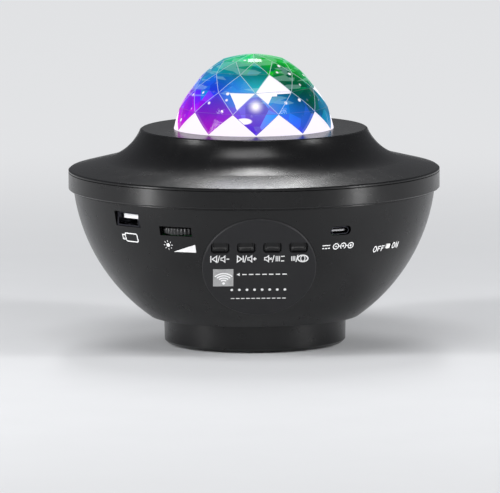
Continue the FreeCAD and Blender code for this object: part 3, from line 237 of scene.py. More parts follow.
# Phosphor-filled LED package: pale yellow square in a white frame, glossy silicone on top
led_silicone = moulded("silicone_led_phosphor", "#f0e6a8", "#f7f0c4", 0.25, 1.0, 0.004, ior=1.41,
                       more={"Emission Color": linear("#fff3c8"), "Emission Strength": 0.6})

# Clear acrylic of the lenses and of the ripple disc: tinted by nothing, bright at its edges
acrylic = moulded("acrylic_clear_moulded", "#e8edf2", "#f4f7fa", 0.08, 2.5, 0.05, ior=1.49,
                  more={"Transmission Weight": 0.85})

# The sockets' shells and lips: plated steel near black, its dark colour painted shade for the shadow they
# sit in, with sharp grey glints
shaded_socket_steel = worked_metal("steel_dark_painted_shade", "#26262a", "#34343a", 0.24, (6, 6, 0.3), 0.002)

# Grey liquid-crystal polymer of the supply socket's tongue
tongue_lcp = moulded("lcp_grey_moulded", "#8b8b8e", "#98989b", 0.42, 0.4, 0.005, ior=1.6)

# Zinc-plated screws
screw_steel = worked_metal("steel_zinc_plated_turned", "#a2a4a8", "#c2c4c6", 0.32, (0.8, 0.8, 0.3), 0.003)

# Pressed basket, sprayed black over steel
basket_steel = moulded("steel_black_sprayed", "#111113", "#1b1b1d", 0.42, 0.7, 0.015, ior=1.5)

# Extruded aluminium heat sink with long draw marks
sink_aluminium = worked_metal("aluminium_extruded", "#c4c6ca", "#dcdde0", 0.36, (0.4, 12, 12), 0.004)

# Aluminium-core board under a white lacquer
board_lacquer_white = moulded("lacquer_white_on_aluminium", "#e6e6e2", "#f0f0ec", 0.4, 0.5, 0.004, ior=1.5)

# Turned brass bush and laser barrel
brass = worked_metal("brass_turned", "#b8924c", "#d2ae66", 0.26, (10, 10, 0.35), 0.003)

# Nickel-plated motor can, drawn from sheet
motor_steel = worked_metal("steel_nickel_plated_drawn", "#a0a2a6", "#babcc0", 0.3, (0.6, 0.6, 9), 0.003)


def board_lacquer():
    """Green lacquered glass-fibre board: copper tracks raise the lacquer in straight runs."""
    made, tree, shader = new_material("glass_fibre_board_lacquered", {"IOR": 1.52, "Roughness": 0.32})
    tracks = add_node(tree, "TexBrick", {
        "Vector": object_place(tree), "Color1": linear("#0d5a2c"), "Color2": linear("#11692f"),
        "Mortar": linear("#0a4623"), "Scale": 1 / (4 * MM), "Mortar Size": 0.06, "Brick Width": 1.7,
        "Row Height": 0.45}).outputs
    feed(shader, "Base Color", tracks["Color"])
    raised(tree, shader, tracks["Fac"], 0.035)
    return made


def two_shades(name, ior, marks_of, colours, roughness):
    """Smooth material whose colour and roughness follow the same marks."""
    made, tree, shader = new_material(name, {"IOR": ior})
    marks = marks_of(tree, object_place(tree))
    feed(shader, "Base Color", mixed(tree, marks, *colours))
    feed(shader, "Roughness", spread(tree, marks, *roughness))
    return made


def window_acrylic():
    """Smoky acrylic that lets infrared through: a pale grey square with a frosted back."""
    return two_shades("acrylic_smoky_frosted", 1.49, lambda tree, place: noise(tree, place, 2.2, 4.0),
                      ("#838384", "#bcbcbc"), (0.3, 0.5))


def printed_ink(name, *colours):
    """Screen-printed ink: an even, slightly rough film whose mesh print shows faintly."""
    return two_shades(name, 1.48, lambda tree, place: cells_of(tree, place, 0.3)["Distance"],
                      colours, (0.5, 0.62))


# The lamp's colours as they reach the dome: bearing from the front in degrees, height on the dome
# (0 rim, 1 top), colour and how far each spreads, in dome radii
LAMP_LIGHTS = (
    (-82, 0.08, "#f410d6", 0.30), (-64, 0.10, "#ec0ce0", 0.26), (-74, 0.34, "#7c1ae6", 0.22),
    (-36, 0.06, "#e000dc", 0.24), (-36, 0.24, "#7c00e4", 0.18), (-36, 0.40, "#6a4ad8", 0.20),
    (-4, 0.04, "#4c0ce0", 0.20), (0, 0.20, "#6440e2", 0.20), (0, 0.40, "#8878ee", 0.20),
    (30, 0.06, "#4a44f2", 0.20), (40, 0.22, "#2a5cee", 0.22), (26, 0.40, "#1c8ef2", 0.20),
    (50, 0.30, "#1a6ce6", 0.18), (78, 0.12, "#0c80c4", 0.24), (80, 0.40, "#0a8a92", 0.24),
    (-56, 0.44, "#2c10f4", 0.22), (-62, 0.60, "#0a1cf4", 0.24), (-42, 0.58, "#0c38f2", 0.24),
    (-20, 0.62, "#34a4f0", 0.18), (2, 0.66, "#16c4c8", 0.18), (44, 0.54, "#005240", 0.20),
    (32, 0.70, "#004a2c", 0.18), (60, 0.50, "#004a38", 0.24), (56, 0.66, "#004430", 0.22),
    (0, 0.83, "#04583c", 0.16), (-66, 0.80, "#0a96a0", 0.24), (-30, 0.86, "#048268", 0.22),
    (38, 0.90, "#0cbc12", 0.18), (80, 0.76, "#0cb414", 0.20),
    (6, 0.95, "#14b43a", 0.16), (-50, 0.96, "#2ccc88", 0.18), (118, 0.15, "#2460ee", 0.34),
    (158, 0.18, "#8424ee", 0.34), (-158, 0.16, "#e010d4", 0.34), (-118, 0.14, "#ee20a8", 0.32),
    (124, 0.62, "#0eaebe", 0.34), (176, 0.62, "#1a46f4", 0.34), (-128, 0.62, "#6030f0", 0.34),
    (150, 0.92, "#18c83a", 0.30), (-120, 0.90, "#0eaa9c", 0.28),
)

# Facets that mirror a white LED: bearing and lean of the facet's normal in degrees, then two cuts that
# bound the white; each gives the shares of X and of the height over the rim, and the least sum in mm
WHOLE, LOWER_HALF = (0.0, 1.0, 0.0), (0.0, -1.0, -18.1)
MIRROR_FACETS = (
    (-18, 36.5, (1.0, 0.45, -3.6), LOWER_HALF), (18, 36.5, (0.0, 1.0, 18.1), WHOLE),
    (18, 36.5, (-1.0, 0.55, 3.1), LOWER_HALF), (162, 36.5, WHOLE, LOWER_HALF),
    (-126, 46.4, WHOLE, WHOLE), (90, 36.5, WHOLE, LOWER_HALF),
)


def from_front(radius, turn, height=0.0):
    """Point at a turn in radians from the front."""
    return Vector((radius * math.sin(turn), -radius * math.cos(turn), height))


def direction(bearing, lean):
    """Unit vector out from the middle, its bearing from the front and its lean in degrees."""
    rise = math.radians(lean)
    return from_front(math.cos(rise), math.radians(bearing), math.sin(rise))


LEAST_WEIGHT = 0.0001


def dome_lights(tree, steady):
    """Colour of the lamp in each direction: a blend of the lights by how near they are."""
    total, weights = Vector((0, 0, 0)), LEAST_WEIGHT
    for bearing, height, colour, reach in LAMP_LIGHTS:
        spot = direction(bearing, math.degrees(math.asin(height)))
        near = calc(tree, "MULTIPLY", vec(tree, "DISTANCE", steady, spot), 1 / reach)
        fall = calc(tree, "MULTIPLY", -1.0, calc(tree, "MULTIPLY", near, near))
        share = calc(tree, "EXPONENT", fall)
        total = vec(tree, "ADD", total, vec(tree, "SCALE", linear(colour)[:3], Scale=share))
        weights = calc(tree, "ADD", weights, share)
    return vec(tree, "SCALE", total, Scale=calc(tree, "DIVIDE", 1.0, weights))


RIM_MIDDLE = Vector((0, 0, DOME_RIM * MM))
CLEAR = {"IOR": 1.585, "Specular IOR Level": 0.03}
GLARE_AT = direction(0, 22) * DOME_RADIUS * 0.9 * MM + RIM_MIDDLE
POOL_AT, POOL_SIZE = Vector((-5.3, -33.3, 6.2)) * MM, (3.5, 9.0, 1.35)
FACET_MATCH = math.cos(math.radians(2.5))


def dome_place(tree, at):
    """Place on the dome as if it were half a ball of radius one."""
    return vec(tree, "MULTIPLY", vec(tree, "SUBTRACT", at, RIM_MIDDLE),
               per_size(DOME_RADIUS, DOME_RADIUS, DOME_RISE))


def part_of(tree, kind, source, index):
    """One part of a colour or a vector."""
    return add_node(tree, "Separate" + kind, {0: source}).outputs[index]


def glowing(tree, shader, glow):
    """The lamp's light as the shader's own, over a body almost black."""
    feed(shader, "Emission Color", glow)
    feed(shader, "Base Color", mixed(tree, 0.9, glow, "#000000"))


def lit_dome():
    """Clear polycarbonate cut like a gem, lit from inside: each facet shows its own piece of the lamp."""
    made, tree, shader = new_material("polycarbonate_clear_polished_lit", {
        **CLEAR, "Roughness": 0.05, "Alpha": 0.92, "Emission Strength": 1.0})
    at = object_place(tree)
    place = dome_place(tree, at)
    facet = add_node(tree, "Attribute", attribute_name="facet").outputs["Vector"]
    chance = add_node(tree, "TexWhiteNoise", {"Vector": facet}, noise_dimensions="3D").outputs["Value"]
    # Slivers of the far side bend through some facets more than through others
    slivers = cells_of(tree, at, 8)["Color"]
    drift = vec(tree, "SCALE", vec(tree, "SUBTRACT", slivers, (0.5, 0.5, 0.5)),
                Scale=spread(tree, chance, 0.05, 0.5))
    steady = add_node(tree, "Mix", {0: 0.25, 4: place, 5: facet}, data_type="VECTOR").outputs[1]
    colour = dome_lights(tree, vec(tree, "ADD", steady, drift))
    sliver = part_of(tree, "Color", slivers, 0)
    level = calc(tree, "MULTIPLY", spread(tree, chance, 0.78, 1.15), spread(tree, sliver, 0.75, 1.2))
    colour = vec(tree, "SCALE", colour, Scale=level)
    # Thin slivers of the sky-blue and mint facets behind shine through, most of them in the crown
    fine = vec(tree, "MULTIPLY", at, per_size(9.0, 9.0, 1.3))
    splinters = add_node(tree, "TexVoronoi", {"Vector": fine, "Scale": 1.0, "Randomness": 1.0})
    least = spread(tree, part_of(tree, "XYZ", place, "Z"), 1.0, 0.7, 0.3, 0.8)
    pale = calc(tree, "GREATER_THAN", part_of(tree, "Color", splinters.outputs["Color"], 1), least)
    colour = mixed(tree, calc(tree, "MULTIPLY", pale, 0.17), colour, "#bff6ea")
    # The upright facets at the rim face the white LEDs
    rim_facets = calc(tree, "LESS_THAN", part_of(tree, "XYZ", facet, "Z"), 0.25)
    whites = [calc(tree, "MULTIPLY", rim_facets, 0.94)]
    over_rim = vec(tree, "SUBTRACT", at, RIM_MIDDLE)
    ragged = spread(tree, sliver, -1.6 * MM, 1.6 * MM)
    for bearing, rise, *cuts in MIRROR_FACETS:
        match = vec(tree, "DOT_PRODUCT", facet, direction(bearing, rise))
        hit = calc(tree, "GREATER_THAN", match, FACET_MATCH)
        for number, (across, above, least) in enumerate(cuts):
            reach = vec(tree, "DOT_PRODUCT", over_rim, (across, 0, above))
            if number == 0:
                reach = calc(tree, "ADD", reach, ragged)
            hit = calc(tree, "MULTIPLY", hit, calc(tree, "GREATER_THAN", reach, least * MM))
        whites.append(hit)
    # Stars: small round laser dots
    whites.append(spread(tree, cells_of(tree, at, 6.5)["Distance"], 1.0, 0.0, 0.09, 0.15))
    # The nearest LED glares through the middle kite
    glare = spread(tree, vec(tree, "DISTANCE", at, GLARE_AT), 1.0, 0.0, 1.3 * MM, 4.8 * MM)
    whites.append(calc(tree, "POWER", glare, 2.2))
    # Under it a flat white pool, the same LED seen through the kite's lower half
    pool = vec(tree, "MULTIPLY", vec(tree, "SUBTRACT", over_rim, POOL_AT), per_size(*POOL_SIZE))
    whites.append(spread(tree, vec(tree, "LENGTH", pool), 1.0, 0.0, 0.85, 1.1))
    white = whites[0]
    for more in whites[1:]:
        white = calc(tree, "MAXIMUM", white, more)
    glowing(tree, shader, mixed(tree, white, colour, "#fbf4ff"))
    return made


def lit_edges(name, paleness, strength):
    """Polished cuts between the facets: they gather the lamp's light."""
    made, tree, shader = new_material(name, {**CLEAR, "Roughness": 0.12, "Emission Strength": strength})
    colour = dome_lights(tree, dome_place(tree, object_place(tree)))
    glowing(tree, shader, mixed(tree, paleness, colour, "#e4f2ff"))
    return made


dome_lit = lit_dome()
# Slanted cuts shine paler than the facets, level ones show as faint creases
dome_edges = lit_edges("polycarbonate_bright_cuts", 0.5, 0.85)
dome_creases = lit_edges("polycarbonate_faint_creases", 0.12, 0.55)
ir_acrylic = window_acrylic()
board_green = board_lacquer()
white_ink = printed_ink("ink_white_screen_printed", "#ededed", "#e2e2e2")
window_ink = printed_ink("ink_pale_pad_printed", "#f6f6f6", "#ececec")

NODE_MATERIALS = (
    (housing_abs, ("base_cover", "bowl_shell", "trim_band", "top_cover")),
    (panel_abs, ("control_panel",)),
    # Key caps: their dark colour is painted shade for the sunken pockets
    (shaded_key_abs, ("volume_down_button", "volume_up_button", "mute_button", "lamp_mode_button")),
    (dome_lit, ("dome",)),
    (acrylic, ("led_lenses", "laser_grating", "ripple_disc")),
    (ir_acrylic, ("ir_window",)),
    # Socket shells: dark steel whose near-black colour is painted shade
    (shaded_socket_steel, ("usb_a_shell", "usb_c_shell")),
    (tongue_lcp, ("usb_c_tongue",)),
    (tongue_pbt, ("usb_a_tongue",)),
    (socket_lcp, ("usb_a_riser", "key_switches", "ir_receiver", "power_switch_body",
                  "dimmer_pot")),
    (wheel_abs, ("dimmer_wheel",)),
    (knob_abs, ("power_slider",)),
    (foot_rubber, ("rubber_feet",)),
    (basket_steel, ("speaker_frame",)),
    (ferrite, ("speaker_magnet",)),
    (cone_paper, ("speaker_cone",)),
    (surround_rubber, ("speaker_surround", "speaker_gasket")),
    (board_green, ("main_board", "button_board", "switch_card")),
    (component_epoxy, ("board_components",)),
    (screw_steel, ("base_screws", "speaker_screws", "button_board_screws", "board_screws",
                   "switch_card_screws", "clamp_screws", "deck_screws", "sink_screws", "motor_screws",
                   "motor_shaft")),
    (sink_aluminium, ("heat_sink",)),
    (board_lacquer_white, ("led_board",)),
    (led_silicone, ("leds",)),
    (deck_abs, ("light_deck", "clamp_ring", "spindle_post", "lens_cap")),
    (brass, ("disc_bush", "laser_module")),
    (acetal, ("ripple_gear", "motor_pinion")),
    (motor_steel, ("drive_motor",)),
)
for finish_material, node_names in NODE_MATERIALS:
    for node_name in node_names:
        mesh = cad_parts[node_name].data
        mesh.materials.clear()
        mesh.materials.append(finish_material)


def mesh_of(name, bm):
    """A mesh from a finished bmesh."""
    mesh = bpy.data.meshes.new(name)
    bm.to_mesh(mesh)
    bm.free()
    return mesh


def linked(name, data):
    """A new object in the scene."""
    made = bpy.data.objects.new(name, data)
    bpy.context.scene.collection.objects.link(made)
    return made


def new_piece(name, bm, body, finish_material):
    """Links a finished mesh that rides on a body."""
    bm.normal_update()
    piece = linked(name, mesh_of(name, bm))
    piece.data.materials.append(finish_material)
    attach(piece, body)
    return piece


def smooth(piece, angle=35):
    """Smooth shading that keeps edges sharper than the angle."""
    piece.data.shade_smooth()
    piece.data.set_sharp_from_angle(angle=math.radians(angle))


def bridge(bm, first, last):
    """Quads between two closed loops of as many points."""
    count = len(first)
    return [bm.faces.new((first[index], first[(index + 1) % count], last[(index + 1) % count], last[index]))
            for index in range(count)]


def loop_of(bm, places):
    """Corners at places in mm."""
    return [bm.verts.new(Vector(place) * MM) for place in places]


def cut_away(plain, tool, place=(0, 0, 0), use_self=False):
    """Mesh of an object less another shape."""
    cutter = linked("cutter", mesh_of("cutter", tool))
    cutter.location = place
    cut = plain.modifiers.new("cut", "BOOLEAN")
    cut.operation, cut.solver, cut.object, cut.use_self = "DIFFERENCE", "EXACT", cutter, use_self
    mesh = bpy.data.meshes.new_from_object(plain.evaluated_get(bpy.context.evaluated_depsgraph_get()))
    bpy.data.objects.remove(plain)
    bpy.data.objects.remove(cutter)
    return mesh


def on_panel(right, above, out):
    """Point on the control panel's face, from its middle."""
    return Vector((right, -PANEL_OUT - above * math.sin(PANEL_TILT) - out * math.cos(PANEL_TILT),
                   PANEL_HEIGHT + above * math.cos(PANEL_TILT) - out * math.sin(PANEL_TILT))) * MM


def on_bowl(bearing, height):
    """A placing function for prints on the bowl round a point, following its curve both ways."""
    middle = math.asin((BALL_CENTRE - height) / BALL_RADIUS)

    def place(right, above, out):
        dip = middle - above / BALL_RADIUS
        turn = math.radians(bearing) + right / (BALL_RADIUS * math.cos(middle))
        reach = BALL_RADIUS + out
        return Vector((reach * math.cos(dip) * math.sin(turn), -reach * math.cos(dip) * math.cos(turn),
                       BALL_CENTRE - reach * math.sin(dip))) * MM
    return place


def bar(start, end, width):
    """Straight stroke as short four-cornered cells, so that it can follow a curve."""
    run = Vector(end) - Vector(start)
    side = Vector((-run.y, run.x)).normalized() * width / 2
    count = max(1, math.ceil(run.length))
    cells = []
    for step in range(count):
        first, last = Vector(start) + run * step / count, Vector(start) + run * (step + 1) / count
        cells.append([first - side, last - side, last + side, first + side])
    return cells


def outline(points, width, closed=True):
    """Stroke along a line of points with mitred corners, as four-cornered cells."""
    places = [Vector(point) for point in points]
    count = len(places)
    sides = []
    for index, here in enumerate(places):
        before = places[index - 1] if index or closed else None
        after = places[(index + 1) % count] if index < count - 1 or closed else None
        ways = [way.normalized() for way in (here - before if before is not None else None,
                                             after - here if after is not None else None) if way is not None]
        normals = [Vector((-way.y, way.x)) for way in ways]
        middle = sum(normals, Vector((0, 0))).normalized()
        sides.append(middle * (width / 2 / max(0.35, middle.dot(normals[0]))))
    cells = []
    for index in range(count if closed else count - 1):
        after = (index + 1) % count
        cells.append([places[index] - sides[index], places[after] - sides[after],
                      places[after] + sides[after], places[index] + sides[index]])
    return cells


def dot(middle, radius, corners=20):
    """Filled round dot."""
    return [[Vector(middle) + Vector((math.cos(angle), math.sin(angle))) * radius
             for angle in full_turn(corners)]]


def full_turn(count):
    """Equal steps of a full turn in radians."""
    return [2 * math.pi * step / count for step in range(count)]


def arc_points(middle, radius, first, last, steps):
    """Points along an arc; the angles are in degrees from the right."""
    turns = [math.radians(first + (last - first) * step / steps) for step in range(steps + 1)]
    return [(middle[0] + radius * math.cos(turn), middle[1] + radius * math.sin(turn)) for turn in turns]


def ellipse_points(middle, half_width, half_height, steps=28):
    """Points round an ellipse."""
    return [(middle[0] + half_width * math.cos(turn), middle[1] + half_height * math.sin(turn))
            for turn in full_turn(steps)]


def ring(middle, radius, width, steps=28):
    """Closed round stroke."""
    return outline(arc_points(middle, radius, 0, 360 * (steps - 1) / steps, steps - 1), width)


def rounded_box(half_width, half_height, corner, middle=(0, 0)):
    """Points of a box with round corners."""
    points = []
    for right, above, first in ((1, 1, 0), (-1, 1, 90), (-1, -1, 180), (1, -1, 270)):
        centre = (middle[0] + right * (half_width - corner), middle[1] + above * (half_height - corner))
        points += arc_points(centre, corner, first, first + 90, 4)
    return points


def shifted(cells, right, above):
    """Cells of a mark moved on its surface."""
    return [[corner + Vector((right, above)) for corner in cell] for cell in cells]


def print_marks(name, cells, place, finish_material=None, body="root"):
    """A printed mark: a thin film of ink that follows the surface it is placed on."""
    bm = bmesh.new()
    for cell in cells:
        top = [bm.verts.new(place(corner[0], corner[1], PRINT_RISE)) for corner in cell]
        low = [bm.verts.new(place(corner[0], corner[1], -PRINT_SINK)) for corner in cell]
        bm.faces.new(top)
        bm.faces.new(low[::-1])
        bridge(bm, low, top)
    bmesh.ops.remove_doubles(bm, verts=bm.verts, dist=0.0005 * MM)
    bmesh.ops.recalc_face_normals(bm, faces=bm.faces)
    return new_piece(name, bm, body, finish_material or white_ink)


STROKE = 0.5
SPEAKER_SHAPE = ((0, 0.62), (0.7, 0.62), (1.75, 1.6), (1.75, -1.6), (0.7, -0.62), (0, -0.62))


def speaker_mark(right):
    """Small loudspeaker outline that opens to the right."""
    return shifted(outline(SPEAKER_SHAPE, STROKE * 0.85), right, 0)


def slash_mark(right):
    """Leaning stroke between two marks."""
    return bar((right, -1.85), (right + 0.85, 1.85), STROKE * 0.8)


def cross_mark(middle, arm, turn, width=STROKE):
    """Plus sign, or an x when it is turned by 45 degrees, in one outline."""
    half, corners = width / 2, []
    for quarter in range(4):
        for right, above in ((arm, -half), (arm, half), (half, half)):
            angle = math.radians(90 * quarter + turn)
            corners.append(Vector((middle[0] + right * math.cos(angle) - above * math.sin(angle),
                                   middle[1] + right * math.sin(angle) + above * math.cos(angle))))
    return [corners]


def tall_bar(right, half, width=STROKE):
    """Upright stroke."""
    return bar((right, -half), (right, half), width)


def flat_bar(first, last, above=0, width=STROKE):
    """Level stroke."""
    return bar((first, above), (last, above), width)


def wave_marks(places, half):
    """Three thin upright strokes for the light pattern."""
    return [cell for place in places for cell in tall_bar(place, half, STROKE * 0.8)]


BUTTON_MARKS = (
    # Skip back and volume down
    ("mark_skip_back", -17.6, tall_bar(-4.1, 1.7) + outline(((-3.45, 0), (-1.5, -1.6), (-1.5, 1.6)), STROKE)
     + slash_mark(-1.0) + speaker_mark(0.45) + flat_bar(2.85, 4.15)),
    # Skip on and volume up
    ("mark_skip_on", -5.5, outline(((-4.3, -1.6), (-2.35, 0), (-4.3, 1.6)), STROKE) + tall_bar(-1.7, 1.7)
     + slash_mark(-1.1) + speaker_mark(0.4) + cross_mark((3.45, 0), 0.8, 0)),
    # Mute and light pattern
    ("mark_mute", 6.8, speaker_mark(-4.4) + cross_mark((-1.75, 0), 0.75, 45, STROKE * 0.8) + slash_mark(-1.0)
     + wave_marks((0.75, 1.5, 2.25), 1.4) + bar((2.9, 1.15), (4.6, 1.3), STROKE)
     + bar((2.9, -1.3), (4.3, -1.15), STROKE)),
    # Light pattern and lamp
    ("mark_lamp", 18.0, wave_marks((-3.5, -2.8, -2.1), 1.2) + slash_mark(-1.6)
     + outline(ellipse_points((1.5, 0), 2.25, 1.7), STROKE * 1.25)
     + outline(ellipse_points((1.5, 0), 0.95, 1.45), STROKE * 0.8)),
)
BUTTON_MARKS_ABOVE = 4.7
for mark_name, across, marks in BUTTON_MARKS:
    print_marks(mark_name, shifted(marks, across, BUTTON_MARKS_ABOVE), on_panel)


def pointer_marks():
    """Arrow toward the infrared window with a trail of dashes."""
    cells = [[Vector((-10.1, -4.2)), Vector((-8.7, -5.0)), Vector((-8.7, -3.4))]]
    for number in range(7):
        cells += flat_bar(-7.6 + 3.0 * number, -5.6 + 3.0 * number, -4.2)
    return cells


def dash_row(first, last, above, dash, gap, width):
    """Row of plain dashes."""
    cells, start = [], first
    while start + dash <= last:
        cells += flat_bar(start, start + dash, above, width)
        start += dash + gap
    return cells


print_marks("mark_pointer", shifted(pointer_marks(), 0, 0.6), on_panel)
print_marks("mark_dots", [cell for number in range(8) for cell in dot((-12.2 + 3.4 * number, -11.8), 0.6)],
            on_panel)
print_marks("mark_rule", dash_row(-12.6, 12.6, -16.4, 1.6, 0.7, 0.4), on_panel)


def window_marks():
    """Three arcs over a dot, as remote controls carry."""
    foot = (0.2, -3.0)
    cells = dot(foot, 0.62)
    for radius, spread in ((1.7, 42), (2.9, 44), (4.1, 46), (5.3, 47)):
        cells += outline(arc_points(foot, radius, 90 - spread, 90 + spread, 10), 0.62, closed=False)
    return shifted(cells, *IR_PLACE)


print_marks("mark_window", window_marks(), on_panel, window_ink)


def stick_marks():
    """Memory stick: a rounded body and its plug with two contacts."""
    cells = outline(rounded_box(3.75, 1.95, 0.8, (0.8, 0)), 0.5)
    cells += outline(((-3.2, 1.1), (-4.9, 1.1), (-4.9, -1.1), (-3.2, -1.1)), 0.42, closed=False)
    return cells + dot((-4.1, 0.4), 0.2, 8) + dot((-4.1, -0.4), 0.2, 8)


def sun_marks():
    """Sun: a disc and eight short rays."""
    cells = dot((0, 0), 0.92)
    for ray in range(8):
        way = Vector((math.cos(math.pi * ray / 4), math.sin(math.pi * ray / 4)))
        cells += bar(way * 1.6, way * 2.3, 0.3)
    return cells


def ramp_marks():
    """Solid ramp that widens to the right."""
    length, height, steps = 10.9, 3.9, 12
    cells = []
    for step in range(steps):
        first, last = step / steps, (step + 1) / steps
        left, right = length * (first - 0.5), length * (last - 0.5)
        cell = [Vector((left, 0)), Vector((right, 0)), Vector((right, height * last)),
                Vector((left, height * first))]
        cells.append(cell if step else cell[:3])
    return cells


def supply_marks():
    """Direct current and the plug's polarity: a line over dashes, and plus and minus rings."""
    thin, radius = 0.42, 1.35
    cells = flat_bar(-8.0, -4.2, 0.7)
    for start in (-8.0, -6.6, -5.2):
        cells += flat_bar(start, start + 1.0, -0.7)
    cells += ring((-1.2, 0), radius, 0.45) + flat_bar(-1.8, -0.6, 0, thin)
    cells += flat_bar(0.37, 1.7, 0, thin) + dot((2.5, 0), 0.52, 14)
    cells += outline(arc_points((2.5, 0), 1.4, -60, 240, 14), thin, closed=False)
    return (cells + flat_bar(4.15, 4.93, 0, thin) + ring((6.5, 0), radius, 0.45)
            + cross_mark((6.5, 0), 0.65, 0, thin))


LETTER_HALF, LETTER_STROKE = 1.4, 0.5


def letter_o(right):
    return outline(ellipse_points((right, 0), 0.95, LETTER_HALF * 0.95, 20), LETTER_STROKE)


def letter_f(right):
    inner, top = right + LETTER_STROKE, LETTER_HALF - LETTER_STROKE / 2
    return ([[Vector((right, -LETTER_HALF)), Vector((inner, -LETTER_HALF)), Vector((inner, LETTER_HALF)),
              Vector((right, LETTER_HALF))]]
            + flat_bar(inner, right + 1.8, top, LETTER_STROKE)
            + flat_bar(inner, right + 1.5, 0, LETTER_STROKE * 0.9))


def letter_n(right):
    first, last = right + LETTER_STROKE / 2, right + 2.0 - LETTER_STROKE / 2
    return outline(((first, -LETTER_HALF), (first, LETTER_HALF), (last, -LETTER_HALF), (last, LETTER_HALF)),
                   LETTER_STROKE, closed=False)


for mark_name, marks, place in (
        ("mark_stick", stick_marks(), (-47.0, 54.9)), ("mark_sun", sun_marks(), (-31.5, 52.9)),
        ("mark_ramp", ramp_marks(), (-25.7, 49.9)), ("mark_supply", supply_marks(), (27.4, 51.9)),
        ("mark_off", letter_o(-2.75) + letter_f(-1.1) + letter_f(1.3), (45.8, 48.7)),
        ("mark_on", letter_o(-1.4) + letter_n(0.35), (54.4, 49.3))):
    print_marks(mark_name, marks, on_bowl(*place))


def dome_rings(scale=1.0):
    """Rings of the dome's corners; scale shrinks them toward the middle of the rim."""
    step = 2 * math.pi / DOME_SIDES
    rings = []
    for level, (radius_share, height_share) in enumerate(zip(DOME_RADIUS_SHARES, DOME_HEIGHT_SHARES)):
        shift = step / 2 * (level % 2)
        radius, height = DOME_RADIUS * radius_share * scale, DOME_RISE * height_share * scale
        rings.append([from_front(radius, side * step + shift, height) for side in range(DOME_SIDES)])
    return rings + [[Vector((0, 0, DOME_RISE * scale))] * DOME_SIDES]


def dome_facets(rings):
    """Three corners of each facet, counter-clockwise from outside."""
    facets = []
    for level in range(len(rings) - 1):
        lower, upper = rings[level], rings[level + 1]
        turned = level % 2
        for side in range(DOME_SIDES):
            after = (side + 1) % DOME_SIDES
            if level == len(rings) - 2:
                facets.append((lower[side], lower[after], upper[side]))
            else:
                facets.append((lower[side], lower[after], upper[after if turned else side]))
                first = side if turned else after
                facets.append((lower[first], upper[(first + 1) % DOME_SIDES] if turned else upper[first],
                               upper[first] if turned else upper[side]))
    return facets


def fullness(rise):
    """Size of the smooth dome round the facets at an angle above the rim, where a half ball has 1."""
    stops = [(math.atan2(height, radius), math.hypot(height, radius))
             for radius, height in zip(DOME_RADIUS_SHARES, DOME_HEIGHT_SHARES)] + [(math.pi / 2, 1.0)]
    for (low, small), (high, large) in zip(stops, stops[1:]):
        if rise <= high:
            return small + (large - small) * (rise - low) / (high - low)
    return 1.0


def swollen(point, scale):
    """A point of a facet moved part of the way out to the smooth dome, and all the way at the rim."""
    around = math.hypot(point.x, point.y) / DOME_RADIUS
    above = point.z / DOME_RISE
    size = math.hypot(around, above)
    share = DOME_BULGE + (1 - DOME_BULGE) * max(0.0, 1 - above / scale / DOME_HEIGHT_SHARES[1])
    return point * (1 + share * (fullness(math.atan2(above, around)) * scale / size - 1))


def at_dome(point):
    """Metres in the frame for a point measured from the middle of the rim."""
    return (point + Vector((0, 0, DOME_RIM))) * MM


def dome_skin(bm, facet_layer, scale, inward):
    """Facets as slightly swollen triangles that stay smooth inside and sharp at their borders."""
    made = {}

    def corner(point):
        place = at_dome(swollen(point, scale))
        key = tuple(round(value / MM, 3) for value in place)
        if key not in made:
            made[key] = bm.verts.new(place)
        return made[key]

    for first, second, third in dome_facets(dome_rings(scale)):
        normal = (second - first).cross(third - first).normalized()
        across_step, up_step = (second - first) / DOME_SPLITS, (third - first) / DOME_SPLITS
        rows = [[corner(first + across_step * across + up_step * up)
                 for across in range(DOME_SPLITS - up + 1)] for up in range(DOME_SPLITS + 1)]
        for low, high in zip(rows, rows[1:]):
            for across in range(len(high)):
                cells = [(low[across], low[across + 1], high[across])]
                if across:
                    cells.append((low[across], high[across], high[across - 1]))
                for cell in cells:
                    face = bm.faces.new(cell[::-1] if inward else cell)
                    face.smooth = True
                    face[facet_layer] = normal
    bm.edges.index_update()
    for edge in bm.edges:
        if len(edge.link_faces) == 2:
            one, other = (face[facet_layer] for face in edge.link_faces)
            edge.smooth = (one - other).length < 0.0001
    rim = [vert for vert in made.values() if abs(vert.co.z - DOME_RIM * MM) < 0.00001]
    return sorted(rim, key=lambda vert: math.atan2(vert.co.x, -vert.co.y))


def gem_dome():
    """The dome with facets inside as well as outside, its collar and its flange."""
    bm = bmesh.new()
    facet_layer = bm.faces.layers.float_vector.new("facet")
    loops = [dome_skin(bm, facet_layer, 1.0, inward=False)]
    turns = [math.atan2(vert.co.x, -vert.co.y) for vert in loops[0]]
    for radius, height in ((DOME_RADIUS, DOME_FLANGE_TOP), (DOME_FLANGE, DOME_FLANGE_TOP),
                           (DOME_FLANGE, DOME_FOOT), (DOME_RADIUS - 2 * DOME_WALL, DOME_FOOT)):
        loops.append(loop_of(bm, [from_front(radius, turn, height) for turn in turns]))
    inner_scale = 1 - DOME_WALL / DOME_RADIUS / math.cos(math.pi / DOME_SIDES)
    loops.append(dome_skin(bm, facet_layer, inner_scale, inward=True))
    # The collar and the flange count as upright facets
    for upper, lower in zip(loops, loops[1:]):
        for vert, face in zip(upper, bridge(bm, lower, upper)):
            face[facet_layer] = (vert.co * Vector((1, 1, 0))).normalized()
    bmesh.ops.recalc_face_normals(bm, faces=bm.faces)
    piece = new_piece("dome_gem", bm, "root", dome_lit)
    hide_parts("dome")


STRIP_STEPS, STRIP_LIFT, STRIP_CREST, STRIP_ROOT, STRIP_GAP = 8, 0.02, 0.08, 0.12, 0.02
LEVEL_HALF, LOW_HALF, SLANTED_HALF = 0.08, 0.1, 0.15


